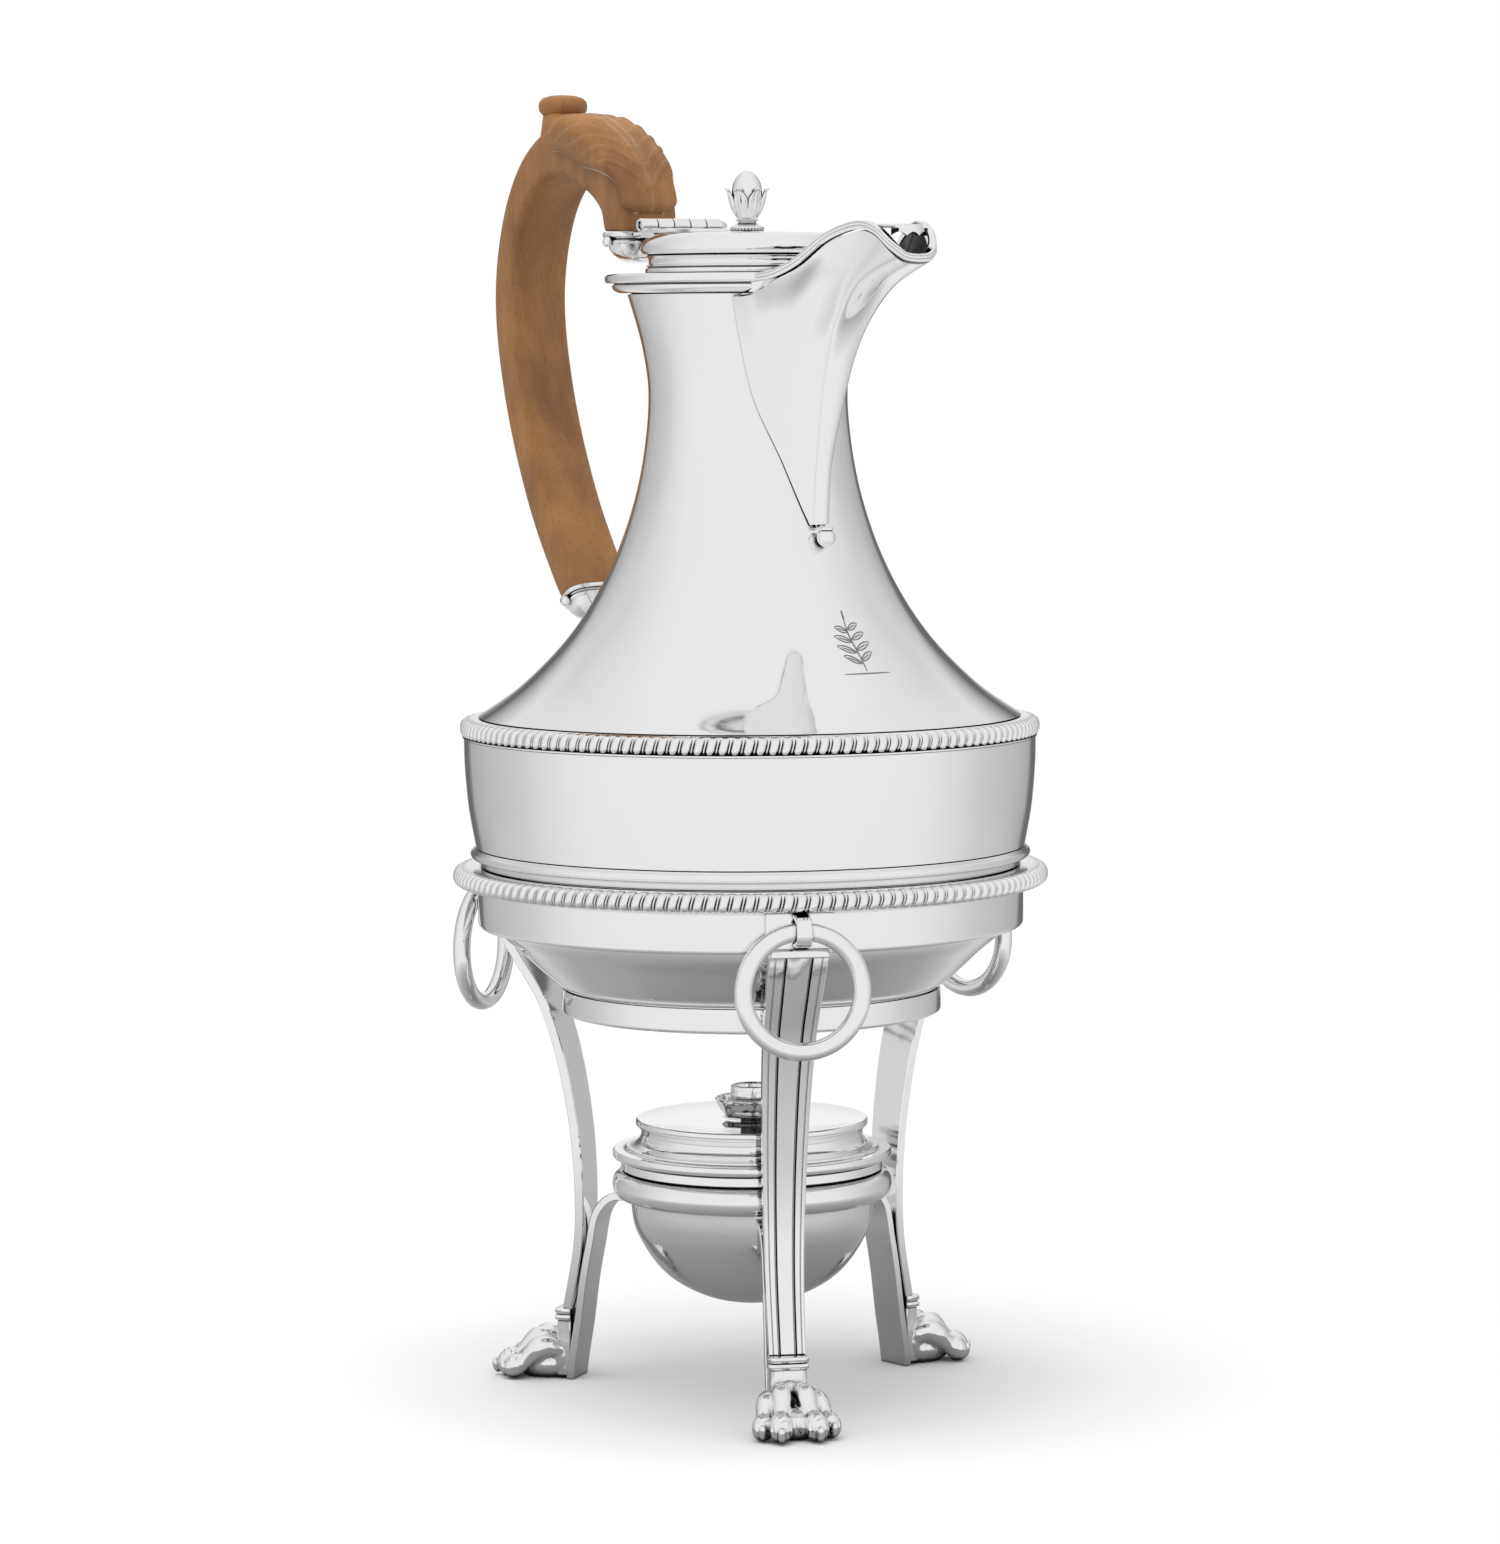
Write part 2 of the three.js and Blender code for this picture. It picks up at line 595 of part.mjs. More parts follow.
// Its arm slopes down from the cup to the lower part of the neck.
const lowerSocket = () => socket(LOWER_END, lowerWay, [
  [-54.9, 179.6, 3.2, 2.4, 140], [-58.5, 182.4, 2.7, 2, 140], [-63.5, 186.8, 3, 2, 137],
  [-68, 191.6, 3.8, 2.4, 132],
], lowerPinPlace);

// A pin along Y with a ball head on its -Y end.
function handlePin([x, z]) {
  const halfLength = HANDLE_HALF_WIDTH + 1.2;
  const head = ellipsoid([x, -halfLength, z], [1.5, 1.2, 1.5], 10, 6);
  return joined([rod(x, z, PIN_RADIUS, -halfLength, halfLength), head]);
}

// ---------------------------------------------------------------- stand

const standCollar = () => ring([
  [COLLAR_BORE, COLLAR_TOP], [COLLAR_RADIUS, COLLAR_TOP], [COLLAR_RADIUS, 118.2],
  [COLLAR_RADIUS - 0.9, 116.6], [COLLAR_BORE, 116.2],
]);

const standGadroon = () => ring([
  [COLLAR_BORE, COLLAR_TOP + GAP], [71.2, COLLAR_TOP + GAP], [72.7, 127.6], [STAND_RIM_RADIUS, 129],
  [72.6, 130.5], [71, STAND_RIM_TOP], [COLLAR_BORE, STAND_RIM_TOP],
]);

// Outer face of a leg, from the collar down to the ankle.
const legFace = through([
  [67.2, LEG_TOP], [60.4, 105], [54.4, 95], [49.8, 81], [46.7, 64], [45.6, 48], [46.2, 34], [49.2, LEG_FOOT],
], 12);

// A curved strap that is narrower at its ankle.
function leg() {
  const outline = [...legFace, ...legFace.map(([r, z]) => [r - LEG_THICKNESS, z]).reverse()];
  const strap = slab(outline, 2);
  const position = strap.getAttribute('position');
  for (let i = 0; i < position.count; i += 1) {
    const share = THREE.MathUtils.inverseLerp(LEG_FOOT, LEG_TOP, position.getZ(i));
    position.setY(i, Math.sign(position.getY(i)) * (SHIN_WIDTH / 2 + 2.7 * Math.abs(share) ** 1.4));
  }
  return strap;
}

// A tab on the collar with a small shelf below it, over the top of the leg.
const legCap = () => joined([
  block([COLLAR_RADIUS + GAP, -8.1, 117.4], [COLLAR_RADIUS + 1.3, 8.1, COLLAR_TOP]),
  block([COLLAR_RADIUS + GAP, -7.5, 115.7], [69, 7.5, 117.9]),
]);

// A strap bent round the drop ring's wire.
function ringLug() {
  const outer = RING_WIRE + 0.35 + LUG_WALL;
  const start = COLLAR_RADIUS + 1.6;
  const bend = circle(RING_PIVOT_RADIUS, RING_PIVOT_Z, outer, 24)
    .filter(([x]) => x >= RING_PIVOT_RADIUS - 1e-6);
  bend.sort((a, b) => a[1] - b[1]);
  const outline = [[start, RING_PIVOT_Z - outer], ...bend, [start, RING_PIVOT_Z + outer]];
  return slab(outline, LUG_WIDTH, [circle(RING_PIVOT_RADIUS, RING_PIVOT_Z, RING_WIRE + 0.35, 16)]);
}

function dropRing() {
  const torus = new THREE.TorusGeometry(RING_RADIUS, RING_WIRE, 7, 22);
  torus.rotateX(Math.PI / 2).rotateZ(Math.PI / 2);
  return closed(torus.translate(RING_PIVOT_RADIUS, 0, RING_PIVOT_Z - RING_RADIUS));
}

// A lion's paw under a shin with two ankle beads, cut flat where it stands.
function paw() {
  const shin = loft([
    [48.6, 3, 4.2, 2.6], [48.9, 14.6, SHIN_WIDTH / 2, 2], [48.9, 15.2, SHIN_WIDTH / 2 + 0.5, 2.4],
    [48.9, LEG_FOOT - GAP, SHIN_WIDTH / 2 + 0.5, 2.4],
  ].map(([x, z, halfWidth, halfDepth]) => (
    handleSection(x, z, new THREE.Vector2(0, 1), halfWidth, halfDepth, 0.5, 12))));
  const solids = [
    shin,
    ellipsoid([55.4, 0, 5.6], [8.6, 6.6, 6.6]),
    ellipsoid([49.6, 0, 3.4], [3.4, 5, 4]),
  ];
  for (const [y, reach, turn] of [[-7, 61.4, -14], [-2.6, 64.4, -4], [2.6, 64.4, 4], [7, 61.4, 14]]) {
    const toe = ellipsoid([0, 0, 3.7], [5.4, 2.6, 4.4], 8, 5);
    solids.push(toe.rotateZ(THREE.MathUtils.degToRad(turn)).translate(reach, y, 0));
  }
  return joined(solids, [block([30, -20, -10], [90, 20, 0])]);
}

// Outer face of a lamp bracket, from the lamp ring to the ankle.
function lampBracket() {
  const centre = through([[32.2, 47.2], [36.6, 46.4], [40.2, 42], [41.9, 34], [43.6, 25], [45.4, 13.4]], 12);
  const line = centre.map(([r, z]) => new THREE.Vector2(r, z));
  const side = (sign) => line.map((point, i) => {
    const along = line[Math.min(i + 1, line.length - 1)].clone().sub(line[Math.max(i - 1, 0)]).normalize();
    return [point.x - sign * along.y, point.y + sign * along.x];
  });
  return slab([...side(1), ...side(-1).reverse()], BRACKET_WIDTH);
}

// ---------------------------------------------------------------- lamp

const lampRing = () => ring([
  [30.6, 48.6], [33.2, 48.6], [34.6, 50], [34.6, 53.4], [33.4, LAMP_RING_TOP], [30.6, LAMP_RING_TOP],
], SMALL_ROUND);

function lampBowl() {
  const curve = through([[30.1, 48.5], [28.6, 40], [22, 30.2], [12, 24.2], [0, LAMP_BOWL_BOTTOM]], 9);
  const inner = inside(curve);
  inner[0] = [28.9, 48.5];
  inner[inner.length - 1] = [0, LAMP_BOWL_BOTTOM + WALL];
  const shoulder = [[30.1, LAMP_RING_TOP + GAP], [32.4, LAMP_RING_TOP + GAP], [32.4, 58.3], [29, 58.3]];
  return turned([...curve.reverse(), ...shoulder, ...inner], SMALL_ROUND);
}

const lampCover = () => ring([
  [34, 58.6], [34.5, 59.2], [34.5, 60.2], [33.4, 60.7], [30.4, 61.2], [28.4, 62.6], [27.6, 64.6], [28, 66.3],
  [28.7, 66.9], [28.7, LAMP_DISC_TOP - 0.4], [28.3, LAMP_DISC_TOP], [3, LAMP_DISC_TOP], [3, 67.2],
  [26.8, 66.8],
  [26.4, 64.4], [27.2, 61.6], [27.4, 60.6], [27.4, 55.6], [28.4, 55.6], [28.4, 58.6],
], SMALL_ROUND);

const burnerDish = () => ring([
  [3.2, LAMP_DISC_TOP + GAP], [6.6, LAMP_DISC_TOP + GAP], [7.4, 69.6], [9.1, 73], [8.4, 73.3], [6.4, 69.8],
  [3.2, 69.5],
], 20);

const wickTube = () => ring([
  [2.6, 58], [2.6, 71.6], [5.1, 72.8], [5.1, 76.2], [4.2, 76.2], [4.1, 73.8], [1.9, 72.8], [1.9, 58],
], 16);

const wick = () => turned([
  [0, 30], [WICK_RADIUS, 30], [WICK_RADIUS, 75], [1, 75.6], [0, 75.6],
], 10);

// ---------------------------------------------------------------- assembly

function jugGroup() {
  const group = new THREE.Group();
  group.add(
    part('jug_neck', neck()), part('jug_drum', drum()), part('shoulder_gadroon', shoulderGadroon()),
    part('drum_moulding', drumMoulding()), part('foot_rim', footRim()), part('rim_flange', rimFlange()),
    part('spout', spout()), part('spout_lip', spoutLip()), part('spout_hood', spoutHood()),
    part('spout_drop', spoutDrop()),
    part('upper_socket', upperSocket(), castSilver), part('lower_socket', lowerSocket(), castSilver),
    part('handle', handle(), boxwood), part('handle_pin_upper', handlePin(upperPinPlace)),
    part('handle_pin_lower', handlePin(lowerPinPlace)), part('hinge_body_leaf', hingeBodyLeaf()),
    part('hinge_pin', hingePin()),
  );
  return group;
}

function lidGroup() {
  const group = new THREE.Group();
  group.add(
    part('lid', lid()), part('hinge_lid_leaf', hingeLidLeaf()), part('finial_base', finialBase()),
    part('finial_calyx', finialCalyx(), castSilver), part('finial_bud', finialBud()),
    part('finial_nut', finialNut()),
  );
  return group;
}

function standGroup() {
  const group = new THREE.Group();
  group.add(
    part('stand_collar', standCollar()), part('stand_gadroon', standGadroon()), part('lamp_ring', lampRing()),
  );
  LEG_AZIMUTHS.forEach((azimuth, i) => {
    const limb = new THREE.Group();
    limb.rotation.z = THREE.MathUtils.degToRad(azimuth);
    limb.add(
      part(`leg_${i + 1}`, leg()), part(`leg_cap_${i + 1}`, legCap()),
      part(`paw_${i + 1}`, paw(), castSilver),
      part(`ring_lug_${i + 1}`, ringLug()), part(`drop_ring_${i + 1}`, dropRing()),
      part(`lamp_bracket_${i + 1}`, lampBracket()),
    );
    group.add(limb);
  });
  return group;
}

function lampGroup() {
  const group = new THREE.Group();
  group.add(
    part('lamp_bowl', lampBowl()), part('lamp_cover', lampCover()), part('burner_dish', burnerDish()),
    part('wick_tube', wickTube()), part('wick', wick(), cotton),
  );
  return group;
}

const coffeePot = new THREE.Group();
coffeePot.add(jugGroup(), lidGroup(), standGroup(), lampGroup());

const box = new THREE.Box3().setFromObject(coffeePot, true);
coffeePot.position.set(-(box.min.x + box.max.x) / 2, -(box.min.y + box.max.y) / 2, 0);

export default coffeePot;
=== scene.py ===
"""Silver coffee jug with a boxwood handle, on a three-legged stand with a spirit lamp."""
import logging
import math
from dataclasses import dataclass, field
from enum import Enum
from typing import Any, Callable, Iterable, Sequence

import bmesh
import bpy
from mathutils import Matrix, Vector


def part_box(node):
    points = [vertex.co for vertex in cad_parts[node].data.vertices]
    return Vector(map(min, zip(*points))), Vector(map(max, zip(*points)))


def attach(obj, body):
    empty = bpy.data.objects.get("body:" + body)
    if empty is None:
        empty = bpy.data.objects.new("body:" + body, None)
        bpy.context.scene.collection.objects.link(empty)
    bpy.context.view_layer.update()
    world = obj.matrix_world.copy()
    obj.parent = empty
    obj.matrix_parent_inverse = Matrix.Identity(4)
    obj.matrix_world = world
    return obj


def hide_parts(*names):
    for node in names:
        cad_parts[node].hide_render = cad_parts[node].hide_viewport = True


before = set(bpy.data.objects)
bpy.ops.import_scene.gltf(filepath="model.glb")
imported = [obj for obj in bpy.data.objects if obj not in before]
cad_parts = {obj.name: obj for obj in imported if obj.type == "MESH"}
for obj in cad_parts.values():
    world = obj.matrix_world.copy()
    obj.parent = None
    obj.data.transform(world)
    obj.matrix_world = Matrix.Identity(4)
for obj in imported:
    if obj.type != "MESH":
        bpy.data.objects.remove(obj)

LOG = logging.getLogger("coffee_jug")
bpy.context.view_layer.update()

MM = 0.001
Pair = tuple[float, float]
Maker = bpy.types.Object

NECK_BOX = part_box("jug_neck")
AXIS = Vector(((NECK_BOX[0][0] + NECK_BOX[1][0]) / 2, (NECK_BOX[0][1] + NECK_BOX[1][1]) / 2, 0.0))
LEG_AZIMUTHS = (-24.3, 95.7, 215.7)
SHARP = 32  # degrees past which a corner is rounded
MERGE = 2e-6  # metres within which vertices are one


# ---------------------------------------------------------------- places and curves


def at(x: float, y: float, z: float) -> Vector:
    """Returns a place in metres from millimetres counted from the jug's axis and the table."""
    return AXIS + Vector((x, y, z)) * MM


def in_mm(place: Vector) -> Vector:
    """Returns a place in millimetres counted from the jug's axis and the table."""
    return (place - AXIS) / MM


def polar(radius: float, degrees: float, z: float) -> Vector:
    """Returns a place at a radius and azimuth about the jug's axis, in millimetres."""
    turn = math.radians(degrees)
    return at(radius * math.cos(turn), radius * math.sin(turn), z)


def turned_about_axis(degrees: float) -> Matrix:
    """Returns a turn about the jug's axis."""
    return Matrix.Translation(AXIS) @ Matrix.Rotation(math.radians(degrees), 4, "Z") @ Matrix.Translation(-AXIS)


def through(points: Sequence[Sequence[float]], steps: int) -> list[tuple[float, ...]]:
    """Runs a smooth curve through points.

    Args:
        points: Places of any dimension, in order.
        steps: Number of equal steps along the curve.

    Returns:
        steps + 1 places on the curve.
    """
    return [on_curve(points, i / steps) for i in range(steps + 1)]


def on_curve(points: Sequence[Sequence[float]], t: float) -> tuple[float, ...]:
    """Finds a place on the smooth curve through points.

    Args:
        points: Places of any dimension, in order.
        t: Share of the way along, 0 to 1.

    Returns:
        The place.
    """
    last = len(points) - 1
    whole = min(int(t * last), last - 1)
    w = t * last - whole
    a, b, c, d = (points[min(max(whole + k, 0), last)] for k in (-1, 0, 1, 2))
    return tuple(
        q + 0.5 * w * (r - p + w * (2 * p - 5 * q + 4 * r - s + w * (3 * (q - r) + s - p)))
        for p, q, r, s in zip(a, b, c, d)
    )


def heading(points: Sequence[Sequence[float]], t: float) -> Vector:
    """Returns the unit direction of a smooth curve at a share of the way along."""
    before, after = on_curve(points, max(t - 1e-3, 0)), on_curve(points, min(t + 1e-3, 1))
    return (Vector(after) - Vector(before)).normalized()


def ramp(value: float, low: float, high: float) -> float:
    """Returns how far a value is from low to high, eased at both ends, 0 to 1."""
    share = min(max((value - low) / (high - low), 0.0), 1.0)
    return share * share * (3 - 2 * share)


def rounded_section(half_width: float, half_depth: float, corner: float, count: int) -> list[Pair]:
    """Draws a rounded rectangle.

    Args:
        half_width: Half its size across.
        half_depth: Half its size in depth.
        corner: 1 for an ellipse, towards 0 for square corners.
        count: Number of points.

    Returns:
        Points of (across, depth).
    """
    points = []
    for i in range(count):
        turn = 2 * math.pi * (i + 0.5) / count
        c, s = math.cos(turn), math.sin(turn)
        points.append((
            half_width * math.copysign(abs(s) ** corner, s),
            half_depth * math.copysign(abs(c) ** corner, c),
        ))
    return points


def stand_section(section: Iterable[Pair], x: float, z: float, way: Vector) -> list[Vector]:
    """Stands a section across a curve that lies in the jug's XZ plane.

    Args:
        section: Points of (across, depth), across along Y and depth to the right of the way.
        x: Place of its middle.
        z: Place of its middle.
        way: Direction of the curve as (x, z).

    Returns:
        The section's points in metres.
    """
    return [at(x + way[1] * depth, across, z - way[0] * depth) for across, depth in section]


# ---------------------------------------------------------------- mesh work


def clear_bench() -> None:
    """Leaves edit mode and deselects everything."""
    if bpy.context.object and bpy.context.object.mode != "OBJECT":
        bpy.ops.object.mode_set(mode="OBJECT")
    bpy.ops.object.select_all(action="DESELECT")


def name_piece(name: str) -> Maker:
    """Leaves edit mode and names the active object and its mesh."""
    bpy.ops.object.mode_set(mode="OBJECT")
    piece = bpy.context.object
    piece.name = piece.data.name = name
    return piece


def mend_shell() -> None:
    """Merges doubled vertices and turns all faces outwards, in edit mode."""
    bpy.ops.mesh.select_all(action="SELECT")
    bpy.ops.mesh.remove_doubles(threshold=MERGE)
    bpy.ops.mesh.normals_make_consistent(inside=False)


def draw_line(points: Sequence[Vector], closes: bool) -> None:
    """Draws a chain of edges, one extruded vertex after another, and stays in edit mode.

    Args:
        points: The chain's places in metres.
        closes: Whether an edge joins the last place to the first.
    """
    clear_bench()
    bpy.ops.mesh.primitive_plane_add(size=MM, location=(0, 0, 0))
    bpy.ops.object.mode_set(mode="EDIT")
    bpy.ops.mesh.merge(type="CENTER")
    bpy.ops.transform.translate(value=points[0])
    for before, after in zip(points, points[1:]):
        bpy.ops.mesh.extrude_region_move(TRANSFORM_OT_translate={"value": after - before})
    if closes:
        mesh = bmesh.from_edit_mesh(bpy.context.object.data)
        mesh.verts.ensure_lookup_table()
        mesh.verts[0].select_set(True)
        mesh.select_flush(True)
        bpy.ops.mesh.edge_face_add()
    bpy.ops.mesh.select_all(action="SELECT")


def turn(name: str, profile: Sequence[Pair], steps: int = 160, closes: bool = True, bevel: float = 0.0) -> Maker:
    """Spins a profile about the jug's axis, as on a lathe.

    Args:
        name: Name of the new piece.
        profile: Points of (radius, height) in millimetres.
        steps: Number of sides.
        closes: Whether the profile is a closed loop; if not, it runs from axis to axis.
        bevel: Width to which sharp corners are rounded, in millimetres.

    Returns:
        The piece.
    """
    draw_line([at(r, 0, z) for r, z in profile], closes)
    bpy.ops.mesh.spin(steps=steps, angle=2 * math.pi, center=AXIS, axis=(0, 0, 1))
    mend_shell()
    piece = name_piece(name)
    if bevel:
        round_edges(piece, bevel)
    return smooth(piece)


def turn_across(name: str, profile: Sequence[Pair], x: float, z: float, closes: bool, steps: int) -> Maker:
    """Spins a profile about a line along Y, as for a pin.

    Args:
        name: Name of the new piece.
        profile: Points of (radius, place along Y) in millimetres.
        x: Place of the line.
        z: Place of the line.
        closes: Whether the profile is a closed loop; if not, it runs from axis to axis.
        steps: Number of sides.

    Returns:
        The piece.
    """
    draw_line([at(x + r, y, z) for r, y in profile], closes)
    bpy.ops.mesh.spin(steps=steps, angle=2 * math.pi, center=at(x, 0, z), axis=(0, 1, 0))
    mend_shell()
    return name_piece(name)


def loft(name: str, loops: Sequence[Sequence[Vector]], bevel: float = 0.0, angle: float = 40) -> Maker:
    """Raises a solid loop by loop: each new edge loop is extruded from the last and set on its places.

    Args:
        name: Name of the new piece.
        loops: Equal loops of places in metres.
        bevel: Width to which sharp corners are rounded, in millimetres.
        angle: Edges sharper than this many degrees stay crisp.

    Returns:
        The piece.
    """
    clear_bench()
    bpy.ops.mesh.primitive_circle_add(vertices=len(loops[0]), radius=MM, fill_type="NGON", location=(0, 0, 0))
    bpy.ops.object.mode_set(mode="EDIT")
    row = list(range(len(loops[0])))
    for number, loop in enumerate(loops):
        if number:
            bpy.ops.mesh.extrude_region()
        mesh = bmesh.from_edit_mesh(bpy.context.object.data)
        mesh.verts.index_update()
        mesh.verts.ensure_lookup_table()
        if number:
            row = [
                next(e.other_vert(mesh.verts[i]).index for e in mesh.verts[i].link_edges
                     if e.other_vert(mesh.verts[i]).select)
                for i in row
            ]
        for i, place in zip(row, loop):
            mesh.verts[i].co = place
        bmesh.update_edit_mesh(bpy.context.object.data)
    mend_shell()
    piece = name_piece(name)
    if bevel:
        round_edges(piece, bevel)
    return smooth(piece, angle)


def sheet(name: str, rows: Sequence[Sequence[Vector]]) -> Maker:
    """Makes a grid and lays its vertices on rows of places.

    Args:
        name: Name of the new piece.
        rows: Equal rows of places in metres.

    Returns:
        The piece, an open sheet.
    """
    clear_bench()
    across, along = len(rows[0]), len(rows)
    bpy.ops.mesh.primitive_grid_add(x_subdivisions=across - 1, y_subdivisions=along - 1, size=1, location=(0, 0, 0))
    piece = bpy.context.object
    for vertex in piece.data.vertices:
        column = round((vertex.co.x + 0.5) * (across - 1))
        row = round((vertex.co.y + 0.5) * (along - 1))
        vertex.co = rows[row][column]
    bpy.ops.object.mode_set(mode="EDIT")
    bpy.ops.mesh.select_all(action="SELECT")
    bpy.ops.mesh.remove_doubles(threshold=MERGE)
    return name_piece(name)


def apply_modifier(piece: Maker, kind: str, **settings: Any) -> None:
    """Adds a modifier with its settings to a piece and applies it."""
    clear_bench()
    bpy.context.view_layer.objects.active = piece
    piece.select_set(True)
    modifier = piece.modifiers.new(kind.title(), kind)
    for key, value in settings.items():
        setattr(modifier, key, value)
    bpy.ops.object.modifier_apply(modifier=modifier.name)


def round_edges(piece: Maker, width: float) -> None:
    """Rounds the corners of a piece that are sharper than SHARP, by a width in millimetres."""
    apply_modifier(
        piece, "BEVEL", width=width * MM, segments=2, limit_method="ANGLE", angle_limit=math.radians(SHARP),
        use_clamp_overlap=True)


def subdivide(piece: Maker, levels: int) -> None:
    """Smooths a piece by subdivision."""
    apply_modifier(piece, "SUBSURF", levels=levels, render_levels=levels)


def smooth(piece: Maker, angle: float = 40) -> Maker:
    """Shades a piece smooth apart from edges sharper than an angle in degrees."""
    clear_bench()
    bpy.context.view_layer.objects.active = piece
    piece.select_set(True)
    bpy.ops.object.shade_smooth_by_angle(angle=math.radians(angle))
    return piece


def copy_round(piece: Maker, name: str, degrees: float) -> Maker:
    """Copies a piece with its own mesh, turned about the jug's axis."""
    twin = piece.copy()
    twin.data = piece.data.copy()
    twin.name = twin.data.name = name
    twin.data.transform(turned_about_axis(degrees))
    bpy.context.scene.collection.objects.link(twin)
    return twin


def join_pieces(pieces: Sequence[Maker], name: str) -> Maker:
    """Joins pieces into the first one, which gets the name."""
    clear_bench()
    for piece in pieces:
        piece.select_set(True)
    bpy.context.view_layer.objects.active = pieces[0]
    bpy.ops.object.join()
    return name_piece(name)


def cut(piece: Maker, tool: Maker) -> None:
    """Cuts a tool's shape out of a piece and throws the tool away."""
    apply_modifier(piece, "BOOLEAN", operation="DIFFERENCE", object=tool, solver="EXACT")
    bpy.data.objects.remove(tool)


def ball(centre: Vector, radii: Sequence[float], segments: int = 24, turn_by: Matrix | None = None) -> Maker:
    """Adds a ball drawn out to three radii.

    Args:
        centre: Its place in metres.
        radii: Its radii in millimetres.
        segments: Number of sides.
        turn_by: A turn about its own centre, if it has one.

    Returns:
        The ball, with its place in its mesh.
    """
    clear_bench()
    bpy.ops.mesh.primitive_uv_sphere_add(segments=segments, ring_count=segments // 2, radius=1, location=(0, 0, 0))
    piece = bpy.context.object
    shape = Matrix.Diagonal((*(r * MM for r in radii), 1))
    piece.data.transform(Matrix.Translation(centre) @ (turn_by or Matrix()) @ shape)
    return piece


# ---------------------------------------------------------------- finishes


def plug(tree: bpy.types.NodeTree, node: Any, inputs: dict[Any, Any]) -> None:
    """Sets a node's inputs by name or number, each to a value or to another node's output."""
    for key, value in inputs.items():
        if isinstance(value, bpy.types.NodeSocket):
            tree.links.new(value, node.inputs[key])
        else:
            node.inputs[key].default_value = value


def add_node(tree: bpy.types.NodeTree, kind: str, inputs: dict[Any, Any] | None = None, **settings: Any) -> Any:
    """Adds a node with its settings and links.

    Args:
        tree: The material's or world's nodes.
        kind: Type of the node.
        inputs: Values or output sockets for its inputs, by name or number.
        settings: Its own properties.

    Returns:
        The node.
    """
    node = tree.nodes.new(kind)
    for key, value in settings.items():
        setattr(node, key, value)
    plug(tree, node, inputs or {})
    return node


def linear(colour: str) -> tuple[float, float, float, float]:
    """Turns an sRGB hex colour into the linear values that the shaders take."""
    parts = [int(colour[i:i + 2], 16) / 255 for i in (1, 3, 5)]
    red, green, blue = (c / 12.92 if c <= 0.04045 else ((c + 0.055) / 1.055) ** 2.4 for c in parts)
    return red, green, blue, 1.0


def new_material(name: str) -> tuple[bpy.types.Material, bpy.types.NodeTree, Any]:
    """Starts a material.

    Args:
        name: The real material's name.

    Returns:
        The material, its nodes and its shader.
    """
    material = bpy.data.materials.new(name)
    material.use_nodes = True
    tree = material.node_tree
    shader = next(n for n in tree.nodes if n.type == "BSDF_PRINCIPLED")
    return material, tree, shader


@dataclass(frozen=True)
class Silver:
    """Sterling silver, raised or cast and burnished. It mirrors the room softly: hand polishing leaves
    faint waves and hair-fine scratches. Folds and grooves are darkened, partly by patina where the cloth
    doesn't reach and partly by painted shade, and the inside of the spout is painted near black as shadow."""

    name: str
    colour: str = "#F3F3F3"
    patina_and_shade: str = "#2B2A29"
    spout_shadow: str = "#1C1B1A"  # painted shadow inside the spout and under the hood
    roughness: tuple[float, float] = (0.04, 0.09)
    wave: float = 0.02  # height of the waves left by the hammer, mm
    wave_length: float = 16.0  # mm
    reach: float = 1.2  # how near a fold must be to be darkened by patina and painted shade, mm
    patina_and_shade_share: float = 0.9

    def build(self) -> bpy.types.Material:
        """Makes the material."""
        material, tree, shader = new_material(self.name)
        place = add_node(tree, "ShaderNodeTexCoord").outputs["Object"]
        # Scratches are 0.02 mm in silver and drawn 0.3 mm wide so that they show.
        along = add_node(tree, "ShaderNodeMapping", {"Vector": place, "Scale": (1.0, 1.0, 9.0)})
        scratch = add_node(tree, "ShaderNodeTexNoise", {
            "Vector": along.outputs[0], "Scale": 1 / (3.0 * MM), "Detail": 3.0, "Roughness": 0.7})
        cloud = add_node(tree, "ShaderNodeTexNoise", {
            "Vector": place, "Scale": 1 / (self.wave_length * MM), "Detail": 1.0, "Roughness": 0.4})
        mixed = add_node(tree, "ShaderNodeMath", {0: scratch.outputs[0], 1: cloud.outputs[0]}, operation="MULTIPLY")
        gloss = add_node(tree, "ShaderNodeMapRange", {
            "Value": mixed.outputs[0], "From Min": 0.15, "From Max": 0.4,
            "To Min": self.roughness[0], "To Max": self.roughness[1]})
        # Occlusion darkens folds and grooves towards the dark tone: partly patina, partly painted shade.
        hollow = add_node(tree, "ShaderNodeAmbientOcclusion", {"Distance": self.reach * MM}, samples=6)
        depth = add_node(tree, "ShaderNodeMapRange", {
            "Value": hollow.outputs["AO"], "From Min": 0.3, "From Max": 0.82,
            "To Min": self.patina_and_shade_share, "To Max": 0.0})
        tone = add_node(tree, "ShaderNodeMix", {
            0: depth.outputs[0], 6: linear(self.colour), 7: linear(self.patina_and_shade)}, data_type="RGBA")
        # Marked vertices inside the spout and under the hood are painted near black as shadow.
        dull = add_node(tree, "ShaderNodeAttribute", attribute_name="painted_shadow")
        tone = add_node(tree, "ShaderNodeMix", {
            0: dull.outputs["Fac"], 6: tone.outputs[2], 7: linear(self.spout_shadow)}, data_type="RGBA")
        bump = add_node(tree, "ShaderNodeBump", {
            "Height": cloud.outputs[0], "Strength": 1.0, "Distance": self.wave * MM})
        plug(tree, shader, {
            "Base Color": tone.outputs[2], "Roughness": gloss.outputs[0], "Normal": bump.outputs[0], "Metallic": 1.0})
        return material


